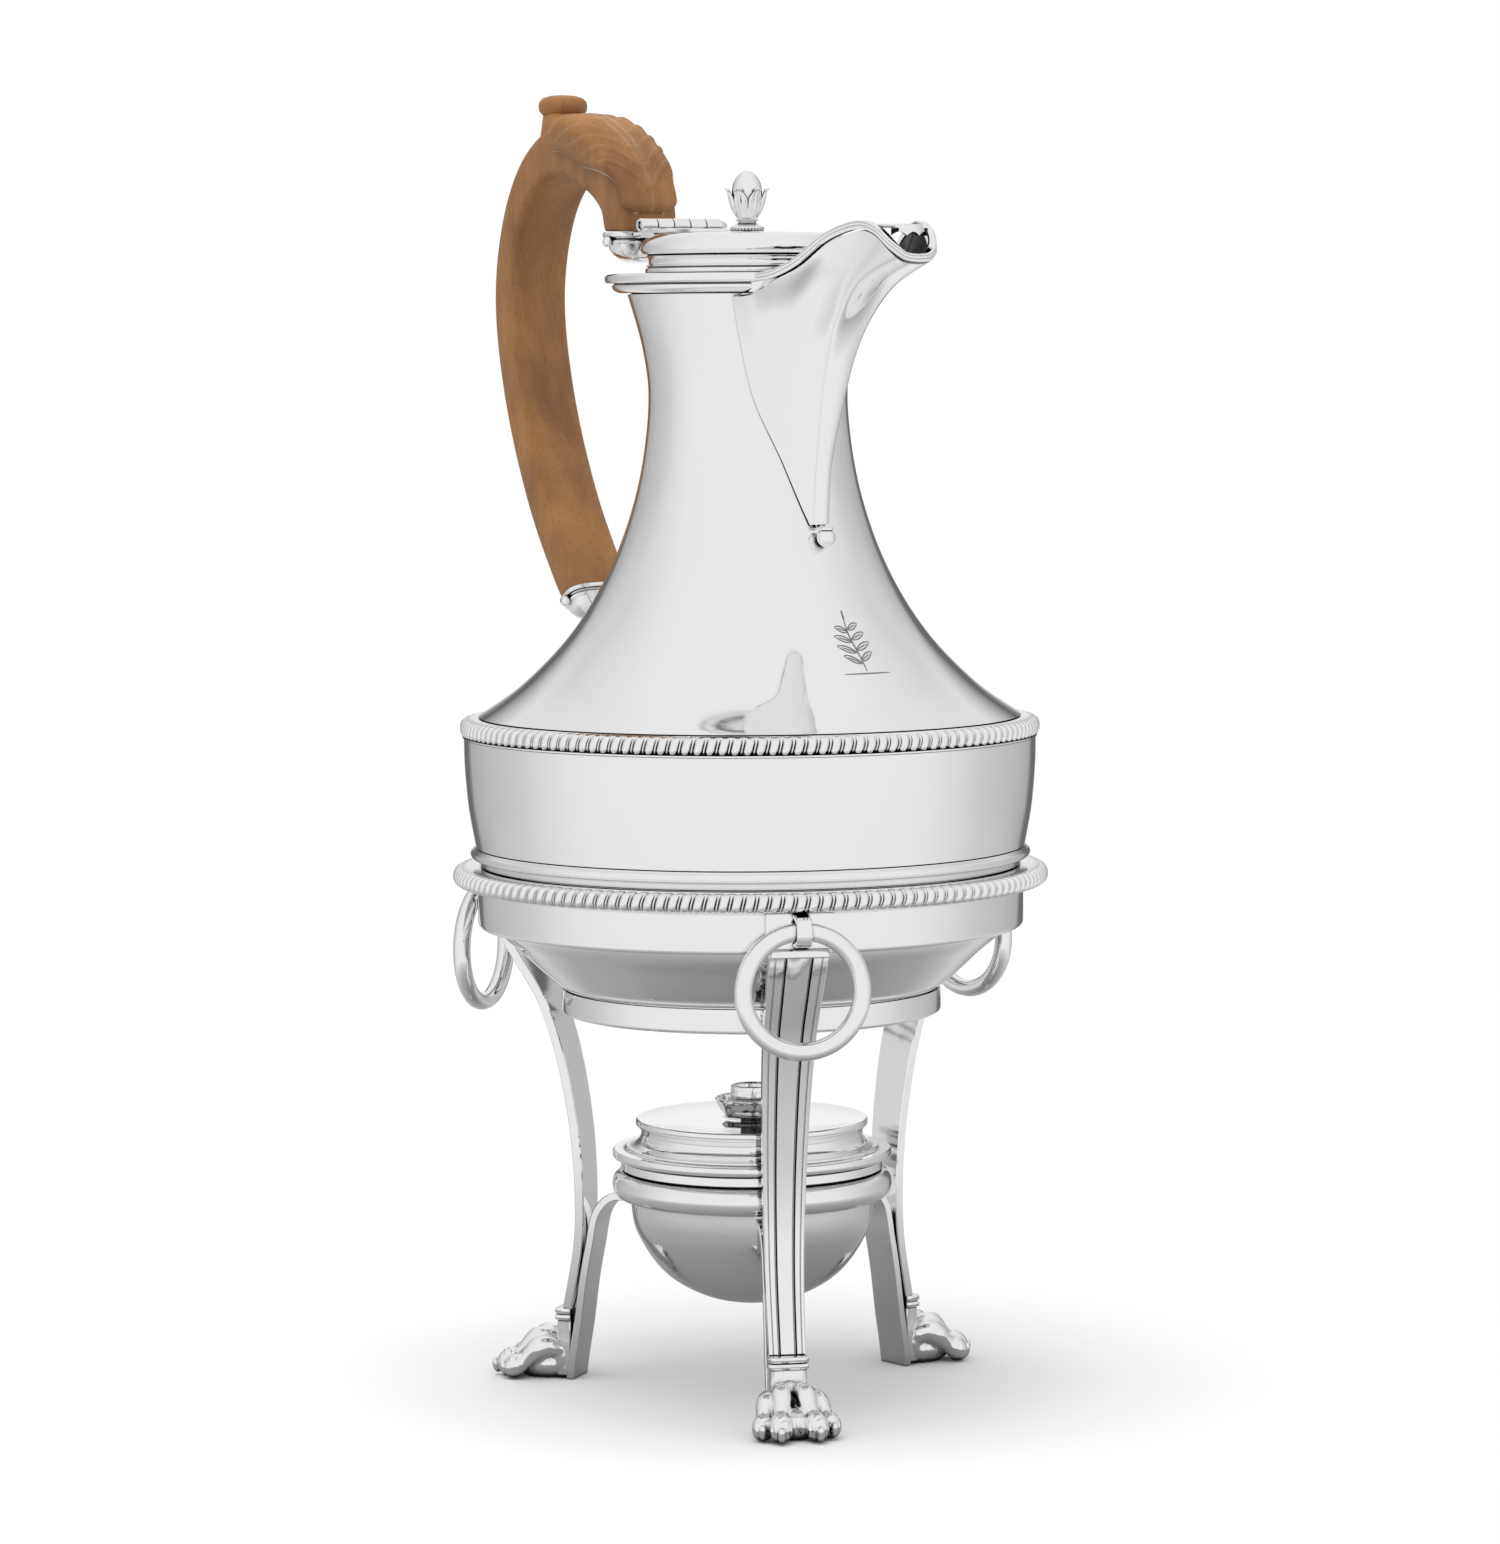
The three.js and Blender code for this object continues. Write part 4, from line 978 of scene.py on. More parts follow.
@dataclass
class Lid:
    """The hinged lid with its bud finial."""

    body: str = "lid"
    top: float = 285.7
    petals: int = 6

    def build(self) -> None:
        """Makes and places the lid's pieces."""
        settle_each(
            self.body, (self.cover, Finish.SHEET, "lid"), (self.finial_base, Finish.WROUGHT, "finial_base"),
            (self.calyx, Finish.CAST, "finial_calyx"), (self.bud, Finish.SHEET, "finial_bud"),
            (self.nut, Finish.WROUGHT, "finial_nut"))

    def cover(self) -> Maker:
        """Returns the cover: a low dome, a rolled edge, a cove and a step that seats on the flange."""
        dome = [(1.5, self.top), (8, self.top), (14, self.top - 0.05), (19, self.top - 0.25)]
        roll = through([(22.5, 285.2), (24.6, 284.2), (25.8, 282.8), (26.1, 281.5), (25.4, 280.4)], 14)
        notch = [(24.9, 280.3), (24.2, 280.15), (24.8, 279.95)]
        cove = notch + through([(24.8, 279.9), (24.1, 279.1), (24.2, 278.0), (24.9, 277.4)], 8)
        inside = [(21.6, 275.9), (21.6, 272.8), (20.6, 272.8), (20.6, 277), (23.0, 278.3), (23.7, 281), (23.2, 283),
                  (20, 284.4), (1.5, 284.4)]
        step = [(24.3, 277.25), (24.3, 277.1), (24.9, 276.95), (24.9, 275.9)]
        return turn("lid_cover", [*dome, *roll, *cove, *step, *inside], 160, bevel=0.04)

    def finial_base(self) -> Maker:
        """Returns the spool under the calyx, on a ring of tiny beads."""
        spool = turn("finial_spool", [
            (0, 281), (1.1, 281), (1.1, 286), (3.5, 286), (3.6, 286.35), (4.1, 286.55), (4.15, 286.85), (3.6, 287.2),
            (2.7, 287.6), (2.2, 288.0), (2.2, 288.3), (2.75, 288.5), (2.8, 288.75), (2.2, 288.9), (0, 288.9)], 64,
            closes=False)
        bead = ball(polar(3.85, 0, 286.3), (0.36, 0.36, 0.3), 8)
        beads = [copy_round(bead, "bead", 360 / 30 * k) for k in range(1, 30)]
        return smooth(join_pieces([spool, bead, *beads], "finial_base_spool"), 50)

    def calyx(self) -> Maker:
        """Returns the calyx: leaves with fluted faces and rolled tips round a cup."""
        rows = []
        for i in range(15):
            up = i / 14
            height = 289.1 + 7.0 * up
            belly = on_curve([(2.5,), (3.5,), (4.15,), (4.5,), (4.85,)], up)[0]
            half = math.radians(180 / self.petals) * on_curve([(0.96,), (1.02,), (1.03,), (0.9,), (0.38,)], up)[0]
            row = []
            for j in range(-8, 9):
                across = j / 8
                flute = 0.22 * math.cos(across * math.pi * 3) * ramp(1 - abs(across), 0, 0.3) * ramp(up, 0.0, 0.25)
                rim = -0.55 * abs(across) ** 2.2
                row.append(polar(belly + flute + rim, math.degrees(half * across), height - 0.5 * up * across * across))
            rows.append(row)
        rows.append([polar((Vector((p.x, p.y, 0)) - AXIS).length / MM * 0.965 + 0.32, self.azimuth(p), p.z / MM - 0.25)
                     for p in rows[-1]])
        petal = sheet("calyx_petal", rows)
        apply_modifier(petal, "SOLIDIFY", thickness=0.55 * MM, offset=-1.0)
        subdivide(petal, 1)
        petals = [copy_round(petal, "calyx_petal", 360 / self.petals * k) for k in range(1, self.petals)]
        cup = turn("calyx_cup", [(0, 289.0), (2.5, 289.1), (3.2, 290.8), (3.6, 293), (3.2, 293.2), (0, 291)], 48,
                   closes=False)
        return smooth(join_pieces([cup, petal, *petals], "finial_calyx_leaves"), 60)

    @staticmethod
    def azimuth(place: Vector) -> float:
        """Returns a place's azimuth about the jug's axis in degrees."""
        return math.degrees(math.atan2(place.y - AXIS.y, place.x - AXIS.x))

    def bud(self) -> Maker:
        """Returns the smooth bud."""
        line = through([
            (2.4, 291.6), (3.3, 293.4), (3.7, 295.2), (3.45, 297.2), (2.5, 299.1), (1.2, 300.3), (0, 300.7)], 28)
        return turn("finial_bud_egg", [(0, 291.2), *line], 64, closes=False)

    def nut(self) -> Maker:
        """Returns the nut that holds the finial from inside the lid."""
        loops = [[polar(r, 60 * k, z) for k in range(6)] for r, z in ((3, 282), (3, 284))]
        return loft("finial_nut_hexagon", loops, bevel=0.3)


# ---------------------------------------------------------------- hinge


@dataclass
class Hinge:
    """The lid's hinge: a barrel of five knuckles, with a leaf to the lid and a leaf to the upper socket."""

    x: float = -30.0
    z: float = 288.0
    radius: float = 1.7
    length: float = 24.0
    knuckles: int = 5

    def build(self) -> None:
        """Makes and places the hinge's pieces."""
        lid_leaf = self.leaf("lid_leaf", (0, 2, 4), (self.x + 1.2, self.x + 12), 11.7, (286.0, 287.0))
        body_leaf = self.leaf("body_leaf", (1, 3), (-42.2, self.x - 1.0), 6.4, (285.0, 287.4))
        settle(lid_leaf, "lid", Finish.WROUGHT, "hinge_lid_leaf")
        settle(body_leaf, "jug", Finish.WROUGHT, "hinge_body_leaf")
        settle(self.pin(), "jug", Finish.WROUGHT, "hinge_pin")

    def tube(self, start: float, end: float) -> Maker:
        """Returns one knuckle: a bored tube along Y with eased ends."""
        section = [(0.9, 0), (self.radius - 0.2, 0), (self.radius, 0.2), (self.radius, end - start - 0.2),
                   (self.radius - 0.2, end - start), (0.9, end - start)]
        return turn_across("knuckle", [(r, start + along) for r, along in section], self.x, self.z, True, 32)

    def leaf(self, name: str, numbers: Sequence[int], span: Pair, half: float, heights: Pair) -> Maker:
        """Returns a leaf with its knuckles.

        Args:
            name: Name of the piece.
            numbers: Which knuckles belong to it.
            span: The plate's ends along X.
            half: Half the plate's width.
            heights: The plate's under and upper side.

        Returns:
            The leaf.
        """
        pitch = self.length / self.knuckles
        starts = [-self.length / 2 + n * pitch + 0.12 for n in numbers]
        tubes = [self.tube(s, s + pitch - 0.24) for s in starts]
        near = min(span, key=lambda x: abs(x - self.x))
        far = max(span, key=lambda x: abs(x - self.x))
        side = 1 if far > self.x else -1
        low, high = self.z - 1.65, self.z - 0.7
        ties = []
        for start in starts:
            end = start + pitch - 0.24
            ties.append(loft("tie", [
                [at(x, y, z) for y, z in ((start, low), (end, low), (end, high), (start, high))]
                for x in (self.x + 0.3 * side, near + 1.8 * side)], bevel=0.1))
        plate = loft("plate", [[at(x, y, z) for y, z in (
            (-w, heights[0]), (w, heights[0]), (w, heights[1]), (-w, heights[1]))]
            for x, w in ((near + 1.0 * side, half), (far, half - 0.4))], bevel=0.25)
        return smooth(join_pieces([*tubes, *ties, plate], f"hinge_{name}"), 40)

    def pin(self) -> Maker:
        """Returns the pin, whose far end shows as a small tapered tip."""
        line = [(0, -11.4), (0.6, -11.4), (0.6, 12.0), (1.35, 12.05), (1.1, 13.0), (0.7, 13.4), (0.6, 13.9), (0, 14.1)]
        return smooth(turn_across("hinge_pin_rod", line, self.x, self.z, False, 24), 40)


# ---------------------------------------------------------------- handle


@dataclass
class Handle:
    """The wooden ear-shaped handle in its two silver sockets."""

    line: list[Pair] = field(default_factory=lambda: [
        (-70.7, 195.5), (-85.4, 218), (-96.4, 244), (-101.1, 269), (-97.2, 289.4), (-87.5, 303), (-73, 308.2),
        (-58.5, 302.8), (-50, 295), (-48, 286.9)])
    half_width: float = 8.8
    half_depth: float = 4.35
    corner: float = 0.32
    steps: int = 84
    body: str = "jug"

    def build(self) -> None:
        """Makes and places the handle, its sockets and pins."""
        settle(self.grip(), self.body, Finish.WOOD, "handle")
        lower = -heading(self.line, 0)
        upper_arm = [(-32.6, 275.9, 2.4, 1.8, 95), (-33.4, 277.6, 2.3, 1.6, 110), (-35, 279.4, 2.5, 1.5, 135),
                     (-38, 280.9, 2.9, 1.6, 160), (-42, 281.4, 3.4, 1.8, 175), (-46, 281.4, 3.6, 1.9, 180)]
        lower_arm = [(-54.9, 179.6, 3.6, 2.8, 140), (-56.6, 181.1, 2.8, 2.1, 140), (-60, 183.9, 2.6, 1.9, 139),
                     (-63.5, 186.8, 3, 2.1, 137), (-66, 189.4, 3.8, 2.6, 134), (-68, 191.6, 4.6, 3.2, 132)]
        settle(self.socket("upper", self.line[-1], Vector((0, -1)), upper_arm), self.body, Finish.CAST, "upper_socket")
        settle(self.socket("lower", self.line[0], lower, lower_arm), self.body, Finish.CAST, "lower_socket")
        settle(self.pin("upper", self.line[-1], Vector((0, -1))), self.body, Finish.WROUGHT, "handle_pin_upper")
        settle(self.pin("lower", self.line[0], lower), self.body, Finish.WROUGHT, "handle_pin_lower")

    def section_at(self, t: float) -> tuple[tuple[float, ...], Vector, float]:
        """Returns the middle, the direction and the half depth of the wood at a share of its length."""
        way = heading(self.line, t) if t < 0.97 else heading(self.line, t).lerp(Vector((0, -1)), (t - 0.97) / 0.03)
        swell = math.exp(-(((t - 0.72) / 0.16) ** 2))
        return on_curve(self.line, t), way.normalized(), self.half_depth + 2.5 * swell

    def grip(self) -> Maker:
        """Returns the wood with the leaf and the scroll carved on its crown."""
        loops = []
        for i in range(self.steps + 1):
            (x, z), way, depth = self.section_at(i / self.steps)
            ease = 1 - 0.05 * math.exp(-i / 1.2) - 0.05 * math.exp(-(self.steps - i) / 1.2)
            loops.append(stand_section(
                rounded_section(self.half_width * ease, depth * ease, self.corner, 48), x, z, way))
        wood = loft("handle_wood", loops, angle=60)
        return smooth(join_pieces([wood, self.leaf(), *self.scroll()], "handle_grip"), 60)

    def leaf(self) -> Maker:
        """Returns the leaf over the crown: a raised skin with a midrib and side veins cut into it."""
        rows, waxed = [], []
        start, end, count, across = 0.66, 0.935, 170, 150
        for i in range(count + 1):
            along = i / count
            t = start + (end - start) * along
            (x, z), way, depth = self.section_at(t)
            reach = 0.25 - 0.115 * ramp(along, 0.3, 0.85) - 0.06 * max(0.0, (along - 0.93) / 0.07) ** 2
            row, wax = [], []
            for j in range(across + 1):
                v = 2 * j / across - 1
                w, d = self.around(depth, v * reach)
                lift, line = self.carving(along, v)
                edge = min(1 - abs(v), min(along, 1 - along) * 2.2)
                lift = lift * ramp(edge, 0.0, 0.07) - 0.35 * (1 - ramp(edge, 0.0, 0.05))
                out = Vector((w / self.half_width, d / depth)).normalized() * lift
                row.append(at(x + way[1] * (d + out.y), w + out.x, z - way[0] * (d + out.y)))
                wax.append(line)
            rows.append(row)
            waxed.append(wax)
        skin = sheet("crown_leaf", rows)
        places = {tuple(round(c, 7) for c in p): m for row, wax in zip(rows, waxed) for p, m in zip(row, wax)}
        mark(skin, "residue", lambda vertex: places.get(tuple(round(c, 7) for c in vertex.co), 0.0))
        apply_modifier(skin, "SOLIDIFY", thickness=1.2 * MM, offset=-1.0)
        return skin

    def around(self, depth: float, share: float) -> Pair:
        """Returns the place (across, depth) a share of the way round the wood from the middle of its outer face."""
        quarter = rounded_section(self.half_width, depth, self.corner, 96)
        half_turn = [(0.0, -depth)] + sorted(
            ((w, d) for w, d in quarter if w > 0), key=lambda p: math.atan2(p[0], -p[1])) + [(0.0, depth)]
        lengths = [0.0]
        for a, b in zip(half_turn, half_turn[1:]):
            lengths.append(lengths[-1] + math.dist(a, b))
        goal = abs(share) * 2 * lengths[-1]
        for (a, b), low, high in zip(zip(half_turn, half_turn[1:]), lengths, lengths[1:]):
            if goal <= high:
                part = (goal - low) / (high - low)
                return math.copysign(a[0] + (b[0] - a[0]) * part, share), a[1] + (b[1] - a[1]) * part
        return half_turn[-1]

    def carving(self, along: float, v: float) -> tuple[float, float]:
        """Returns the leaf's height above the wood in millimetres, and how much pale wax its cut lines hold."""
        lift = 0.85 + 0.5 * (1 - abs(v)) ** 1.5
        line = 0.9 * math.exp(-(((abs(v) - 0.985) / 0.012) ** 2))
        rib = abs(abs(v) - 0.06 * (1.6 - along))
        if along > 0.1:
            cut_ = math.exp(-((rib / 0.028) ** 2))
            lift -= 0.45 * cut_
            line = max(line, cut_)
        for root, slope in ((0.2, 0.30), (0.36, 0.36), (0.52, 0.40), (0.68, 0.40), (0.84, 0.34)):
            vein = along - (root - slope * (abs(v) - 0.075))
            inside_ = ramp(abs(v), 0.08, 0.13) * (1 - ramp(abs(v), 0.72, 0.9))
            cut_ = math.exp(-((vein / 0.013) ** 2)) * inside_
            lift -= 0.5 * cut_ - 0.3 * math.exp(-(((vein - 0.035) / 0.03) ** 2)) * inside_
            line = max(line, 0.8 * cut_)
        hair = math.sin(46 * (along + 0.34 * abs(v))) * (1 - ramp(along, 0.3, 0.6))
        lift += 0.12 * hair * ramp(abs(v), 0.1, 0.3) * (1 - ramp(abs(v), 0.7, 0.9))
        return lift, line

    def scroll(self) -> list[Maker]:
        """Returns the roll at the back of the crown, with the stem that carries it."""
        loops = []
        for x, z, half, depth, slope in ((-80.5, 308, 7.8, 6.4, 96), (-81.2, 312, 7.3, 5.6, 98),
                                         (-82.4, 314.6, 6.4, 4.6, 100), (-83.4, 316.4, 5.7, 3.7, 96),
                                         (-84.0, 318.4, 5.4, 3.4, 92)):
            way = Vector((math.cos(math.radians(slope)), math.sin(math.radians(slope))))
            loops.append(stand_section(rounded_section(half, depth, 0.6, 28), x, z, way))
        stem = loft("scroll_stem", loops, angle=60)
        subdivide(stem, 1)
        roll = loft("scroll_roll", [
            stand_section(rounded_section(6.4 * w, 5.0 * w, 0.85, 32), -84.3, 319.5 + h, Vector((0, 1)))
            for w, h in ((0.5, -2.6), (0.84, -2.25), (0.97, -1.2), (1.0, 0.1), (0.96, 1.2), (0.82, 2.1), (0.5, 2.7),
                         (0.15, 2.85))], angle=60)
        return [stem, roll]

    def socket(self, name: str, end: Pair, way: Vector, arm: Sequence[Sequence[float]]) -> Maker:
        """Returns a socket: a moulded cup round the wood's tenon, on an arm.

        Args:
            name: Upper or lower.
            end: Where the wood's shoulder ends.
            way: Direction from the shoulder into the cup.
            arm: The arm's sections: x, z, half width, half depth, slope in degrees.

        Returns:
            The socket.
        """
        steps = [(0.3, 0.35, 0.55), (0.32, 0.75, 0.95), (0.55, 0.95, 1.15), (1.25, 0.95, 1.15), (1.5, 0.75, 0.95),
                 (1.55, 0.1, 0.35), (1.9, -0.1, 0.15), (2.2, 0.2, 0.45), (2.5, 0.35, 0.6), (2.9, 0.2, 0.45),
                 (3.2, -0.2, 0.15), (4.6, -0.7, -0.1), (6.0, -1.9, -0.6), (7.1, -3.6, -1.4), (7.7, -5.4, -2.3),
                 (8.0, -7.2, -3.4)]
        loops = [stand_section(
            rounded_section(self.half_width + grow_w, self.half_depth + grow_d, 0.62, 48),
            end[0] + way.x * d, end[1] + way.y * d, way) for d, grow_w, grow_d in steps]
        cup = loft(f"{name}_cup", loops, angle=35)
        arm_loops = []
        for x, z, half, depth, slope in through(arm, 20):
            turn_ = math.radians(slope)
            arm_loops.append(stand_section(
                rounded_section(half, depth, 0.75, 28), x, z, Vector((math.cos(turn_), math.sin(turn_)))))
        stalk = loft(f"{name}_arm", arm_loops, angle=50)
        return smooth(join_pieces([cup, stalk], f"{name}_socket_cup"), 35)

    def pin(self, name: str, end: Pair, way: Vector) -> Maker:
        """Returns the cross pin of a socket, with its ball head on the near side."""
        x, z = end[0] + way.x * 2.6, end[1] + way.y * 2.6
        half = self.half_width + 1.2
        line = [(0, -half - 1.0), (0.7, -half - 0.85), (1.25, -half - 0.4), (1.45, -half + 0.1), (1.25, -half + 0.6),
                (0.9, -half + 0.9), (0.9, half - 0.2), (0.7, half), (0, half)]
        return smooth(turn_across(f"{name}_socket_pin", line, x, z, False, 24), 60)


# ---------------------------------------------------------------- stand


@dataclass
class Stand:
    """The three-legged stand: a gadrooned collar, reeded legs on paws, and the ring that holds the lamp."""

    body: str = "stand"
    leg_line: list[Pair] = field(default_factory=lambda: [
        (67.2, 115.9), (60.4, 105), (54.4, 95), (49.8, 81), (46.7, 64), (45.6, 48), (46.2, 34), (49.2, 18.3)])
    bracket_line: list[Pair] = field(default_factory=lambda: [
        (32.2, 47.2), (36.6, 46.4), (40.2, 42), (41.9, 34), (43.6, 25), (45.2, 13.4), (46.4, 6.5), (47.3, 0.2)])
    shin: float = 4.45
    thick: float = 2.4
    ring_reach: float = 71.5  # from the axis to the wire where it hangs
    ring_top: float = 122.3  # height of the wire where it hangs
    ring_radius: float = 14.1
    wire: float = 2.15

    def build(self) -> None:
        """Makes and places the stand's pieces."""
        settle_each(
            self.body, (self.collar, Finish.SHEET, "stand_collar"), (self.edging, Finish.WROUGHT, "stand_gadroon"),
            (self.lamp_ring, Finish.WROUGHT, "lamp_ring"))
        makers: dict[str, tuple[Callable[[], Maker], Finish]] = {
            "leg": (self.leg, Finish.WROUGHT), "leg_cap": (self.cap, Finish.SHEET), "paw": (self.paw, Finish.CAST),
            "ring_lug": (self.lug, Finish.WROUGHT), "drop_ring": (self.drop_ring, Finish.WROUGHT),
            "lamp_bracket": (self.bracket, Finish.WROUGHT),
        }
        for kind, (make, finish) in makers.items():
            first = make()
            for number, azimuth in enumerate(LEG_AZIMUTHS, 1):
                body = f"{kind}_{number}" if kind == "drop_ring" else self.body
                settle(copy_round(first, f"{kind}_{number}_silver", azimuth), body, finish, f"{kind}_{number}")
            bpy.data.objects.remove(first)

    def collar(self) -> Maker:
        """Returns the plain band under the edging."""
        lower = [(67.1 - 1.5 * (1 - math.cos(a)), 117.5 - 1.3 * math.sin(a)) for a in (0, 0.4, 0.8, 1.2, 1.5)]
        return turn("collar_band", [(65, 126.4), (67.1, 126.4), *lower, (65, 116.2)], 192, bevel=0.08)

    def edging(self) -> Maker:
        """Returns the gadrooned rim that the jug's moulding rests above."""
        arc = [(70.6 + 2.2 * math.cos(a), 128.9 + 2.2 * math.sin(a)) for a in (
            -1.4, -1.0, -0.6, -0.2, 0.25, 0.7, 1.1, 1.45)]
        return Gadroon("rim_edging", arc + [(69.8, 131.3), (65, 131.3), (65, 126.7), (70.4, 126.7)], 8).build()

    def lamp_ring(self) -> Maker:
        """Returns the half-round ring that carries the lamp."""
        bead = [(31.9 + 2.7 * math.cos(a), 52 + 3.4 * math.sin(a)) for a in (
            -1.4, -1.1, -0.75, -0.4, 0, 0.4, 0.75, 1.1, 1.4)]
        return turn("lamp_ring_band", [(30.6, 48.6), *bead, (30.6, 55.4)], 128)

    def leg(self) -> Maker:
        """Returns a leg: a strap with a raised middle panel between two deep grooves and a fine line near each edge."""
        loops = []
        steps = 48
        top, foot = self.leg_line[0][1], self.leg_line[-1][1]
        for i in range(steps + 1):
            t = i / steps
            r, z = on_curve(self.leg_line, t)
            way = heading(self.leg_line, t)
            share = max((z - foot) / (top - foot), 0)
            w = self.shin + 2.7 * share ** 1.4
            panel = w * (0.36 + 0.03 * share)
            outer = [(-w, -0.25), (-w + 0.25, 0), (-w * 0.82, 0), (-w * 0.80, -0.22), (-w * 0.77, -0.22),
                     (-w * 0.75, 0), (-panel - 0.75, 0), (-panel - 0.5, -0.85), (-panel - 0.25, -0.85), (-panel, -0.05),
                     (-panel + 0.3, 0.08)]
            section = outer + [(-y, d) for y, d in outer[::-1]] + [(w, -self.thick + 0.25), (w - 0.25, -self.thick),
                                                                    (-w + 0.25, -self.thick), (-w, -self.thick + 0.25)]
            loops.append(stand_section([(y, -d) for y, d in section], r, z, way))
        return loft("leg_strap", loops, angle=28)

    @staticmethod
    def strap(name: str, line: Sequence[Pair], steps: int, section: Sequence[Pair], angle: float) -> Maker:
        """Lofts a strap of one section along a curve.

        Args:
            name: Name of the new piece.
            line: The curve, as (radius, height).
            steps: Number of equal steps along it.
            section: Points of (across, outward).
            angle: Edges sharper than this many degrees stay crisp.

        Returns:
            The strap.
        """
        flipped = [(y, -d) for y, d in section]
        return loft(name, [
            stand_section(flipped, *on_curve(line, i / steps), heading(line, i / steps)) for i in range(steps + 1)],
            angle=angle)

    def cap(self) -> Maker:
        """Returns the tab on the collar with the little shelf over the leg."""
        tab = loft("cap_tab", [
            [at(r, y, z) for y, z in ((-8.1, 117.4), (8.1, 117.4), (8.1, 126.4), (-8.1, 126.4))] for r in (67.4, 68.4)],
            bevel=0.2)
        front = [(67.4, -7.5), (68.3, -7.5), (68.8, -7.2), (69.1, -6.6), (69.1, 6.6), (68.8, 7.2), (68.3, 7.5),
                 (67.4, 7.5)]
        shelf = loft("cap_shelf", [[at(r - (0.4 if r > 68 else 0) * k, y, z) for r, y in front] for z, k in (
            (115.7, 1), (116.0, 0), (117.4, 0), (117.9, 1))], bevel=0.15)
        tongue = loft("cap_tongue", [
            [at(66.4 - 0.62 * (115.7 - z) + d, y, z) for y, d in ((-w, 0), (w, 0), (w * 0.7, 0.5), (-w * 0.7, 0.5))]
            for z, w in ((115.7, 2.7), (114.6, 2.3), (113.6, 1.3), (112.8, 0.4))], bevel=0.1)
        return join_pieces([tab, shelf, tongue], "cap_plate")

    def lug(self) -> Maker:
        """Returns the strap bent round the drop ring's wire."""
        middle = [(68.75, 126.0)] + [
            (self.ring_reach + 3.1 * math.cos(a), self.ring_top + 3.1 * math.sin(a))
            for a in (1.5, 1.1, 0.7, 0.3, 0, -0.3, -0.7, -1.1, -1.5)] + [(68.75, 118.6)]
        section = [(-1.85, -0.45), (-1.85, 0.3), (-1.55, 0.6), (1.55, 0.6), (1.85, 0.3), (1.85, -0.45), (1.6, -0.6),
                   (-1.6, -0.6)]
        return self.strap("lug_strap", middle, 32, section, 35)

    def drop_ring(self) -> Maker:
        """Returns a drop ring of round wire, very slightly flattened where its ends are brazed."""
        section = rounded_section(self.wire, self.wire, 1, 24)
        middle = self.ring_top - self.ring_radius
        draw_line([at(self.ring_reach + d, 0, self.ring_top + w) for w, d in section], True)
        bpy.ops.mesh.spin(steps=96, angle=2 * math.pi, center=at(self.ring_reach, 0, middle), axis=(1, 0, 0))
        mend_shell()
        wire = name_piece("drop_ring_wire")
        for vertex in wire.data.vertices:
            place = in_mm(vertex.co) - Vector((self.ring_reach, 0, middle))
            dent = 0.05 * math.exp(-((math.atan2(place.y, -place.z) - 0.7) / 0.06) ** 2)
            vertex.co.x -= dent * MM * place.x
        return smooth(wire, 60)

    def bracket(self) -> Maker:
        """Returns a bracket: a bent strap from the lamp ring to the ankle."""
        section = [(-4.8, -0.8), (-4.6, -1), (4.6, -1), (4.8, -0.8), (4.8, 0.8), (4.6, 1), (1.4, 1), (1.2, 0.75),
                   (-1.2, 0.75), (-1.4, 1), (-4.6, 1), (-4.8, 0.8)]
        return self.strap("bracket_strap", self.bracket_line, 40, section, 28)

    def paw(self) -> Maker:
        """Returns a lion's paw below a shin with two beads."""
        shin_loops = []
        for z, grow, out in (
                (1.2, 0.3, 0.2), (5, 0.3, 0.3), (8, 0.3, 0.5), (10, 0.15, 0.4), (12, 0.05, 0.1), (14.6, 0, 0),
                (14.75, -0.15, -0.1), (14.95, 0.35, 0.35), (15.3, 0.55, 0.5), (15.85, 0.55, 0.5), (16.2, 0.35, 0.35),
                (16.4, 0.0, 0.0), (16.6, 0.35, 0.35), (16.95, 0.55, 0.5), (17.5, 0.55, 0.5), (17.85, 0.3, 0.3),
                (18.0, 0.0, 0.0)):
            half_y, half_x = self.shin + grow, 2.0 + out * 0.5
            keel = [(p, q + (0.35 * (1 - abs(p) / half_y) if q > 0 else 0)) for p, q in
                    rounded_section(half_y, half_x, 0.3, 32)]
            shin_loops.append([at(48.9 + out * 0.5 + q, p, z) for p, q in keel])
        shin = loft("paw_shin", shin_loops, angle=35)
        foot = self.paw_flesh()
        claws = []
        for side in (-1, 1):
            for x, y, z, turn_ in ((67.1, 4.7, 2.5, 6), (63.3, 8.6, 2.6, 24)):
                tilt = Matrix.Rotation(math.radians(turn_ * side), 4, "Z") @ Matrix.Rotation(math.radians(14), 4, "Y")
                claws.append(ball(at(x, y * side, z), (1.1, 0.95, 1.9), 20, tilt))
        return smooth(join_pieces([foot, shin, *claws], "paw_cast"), 45)

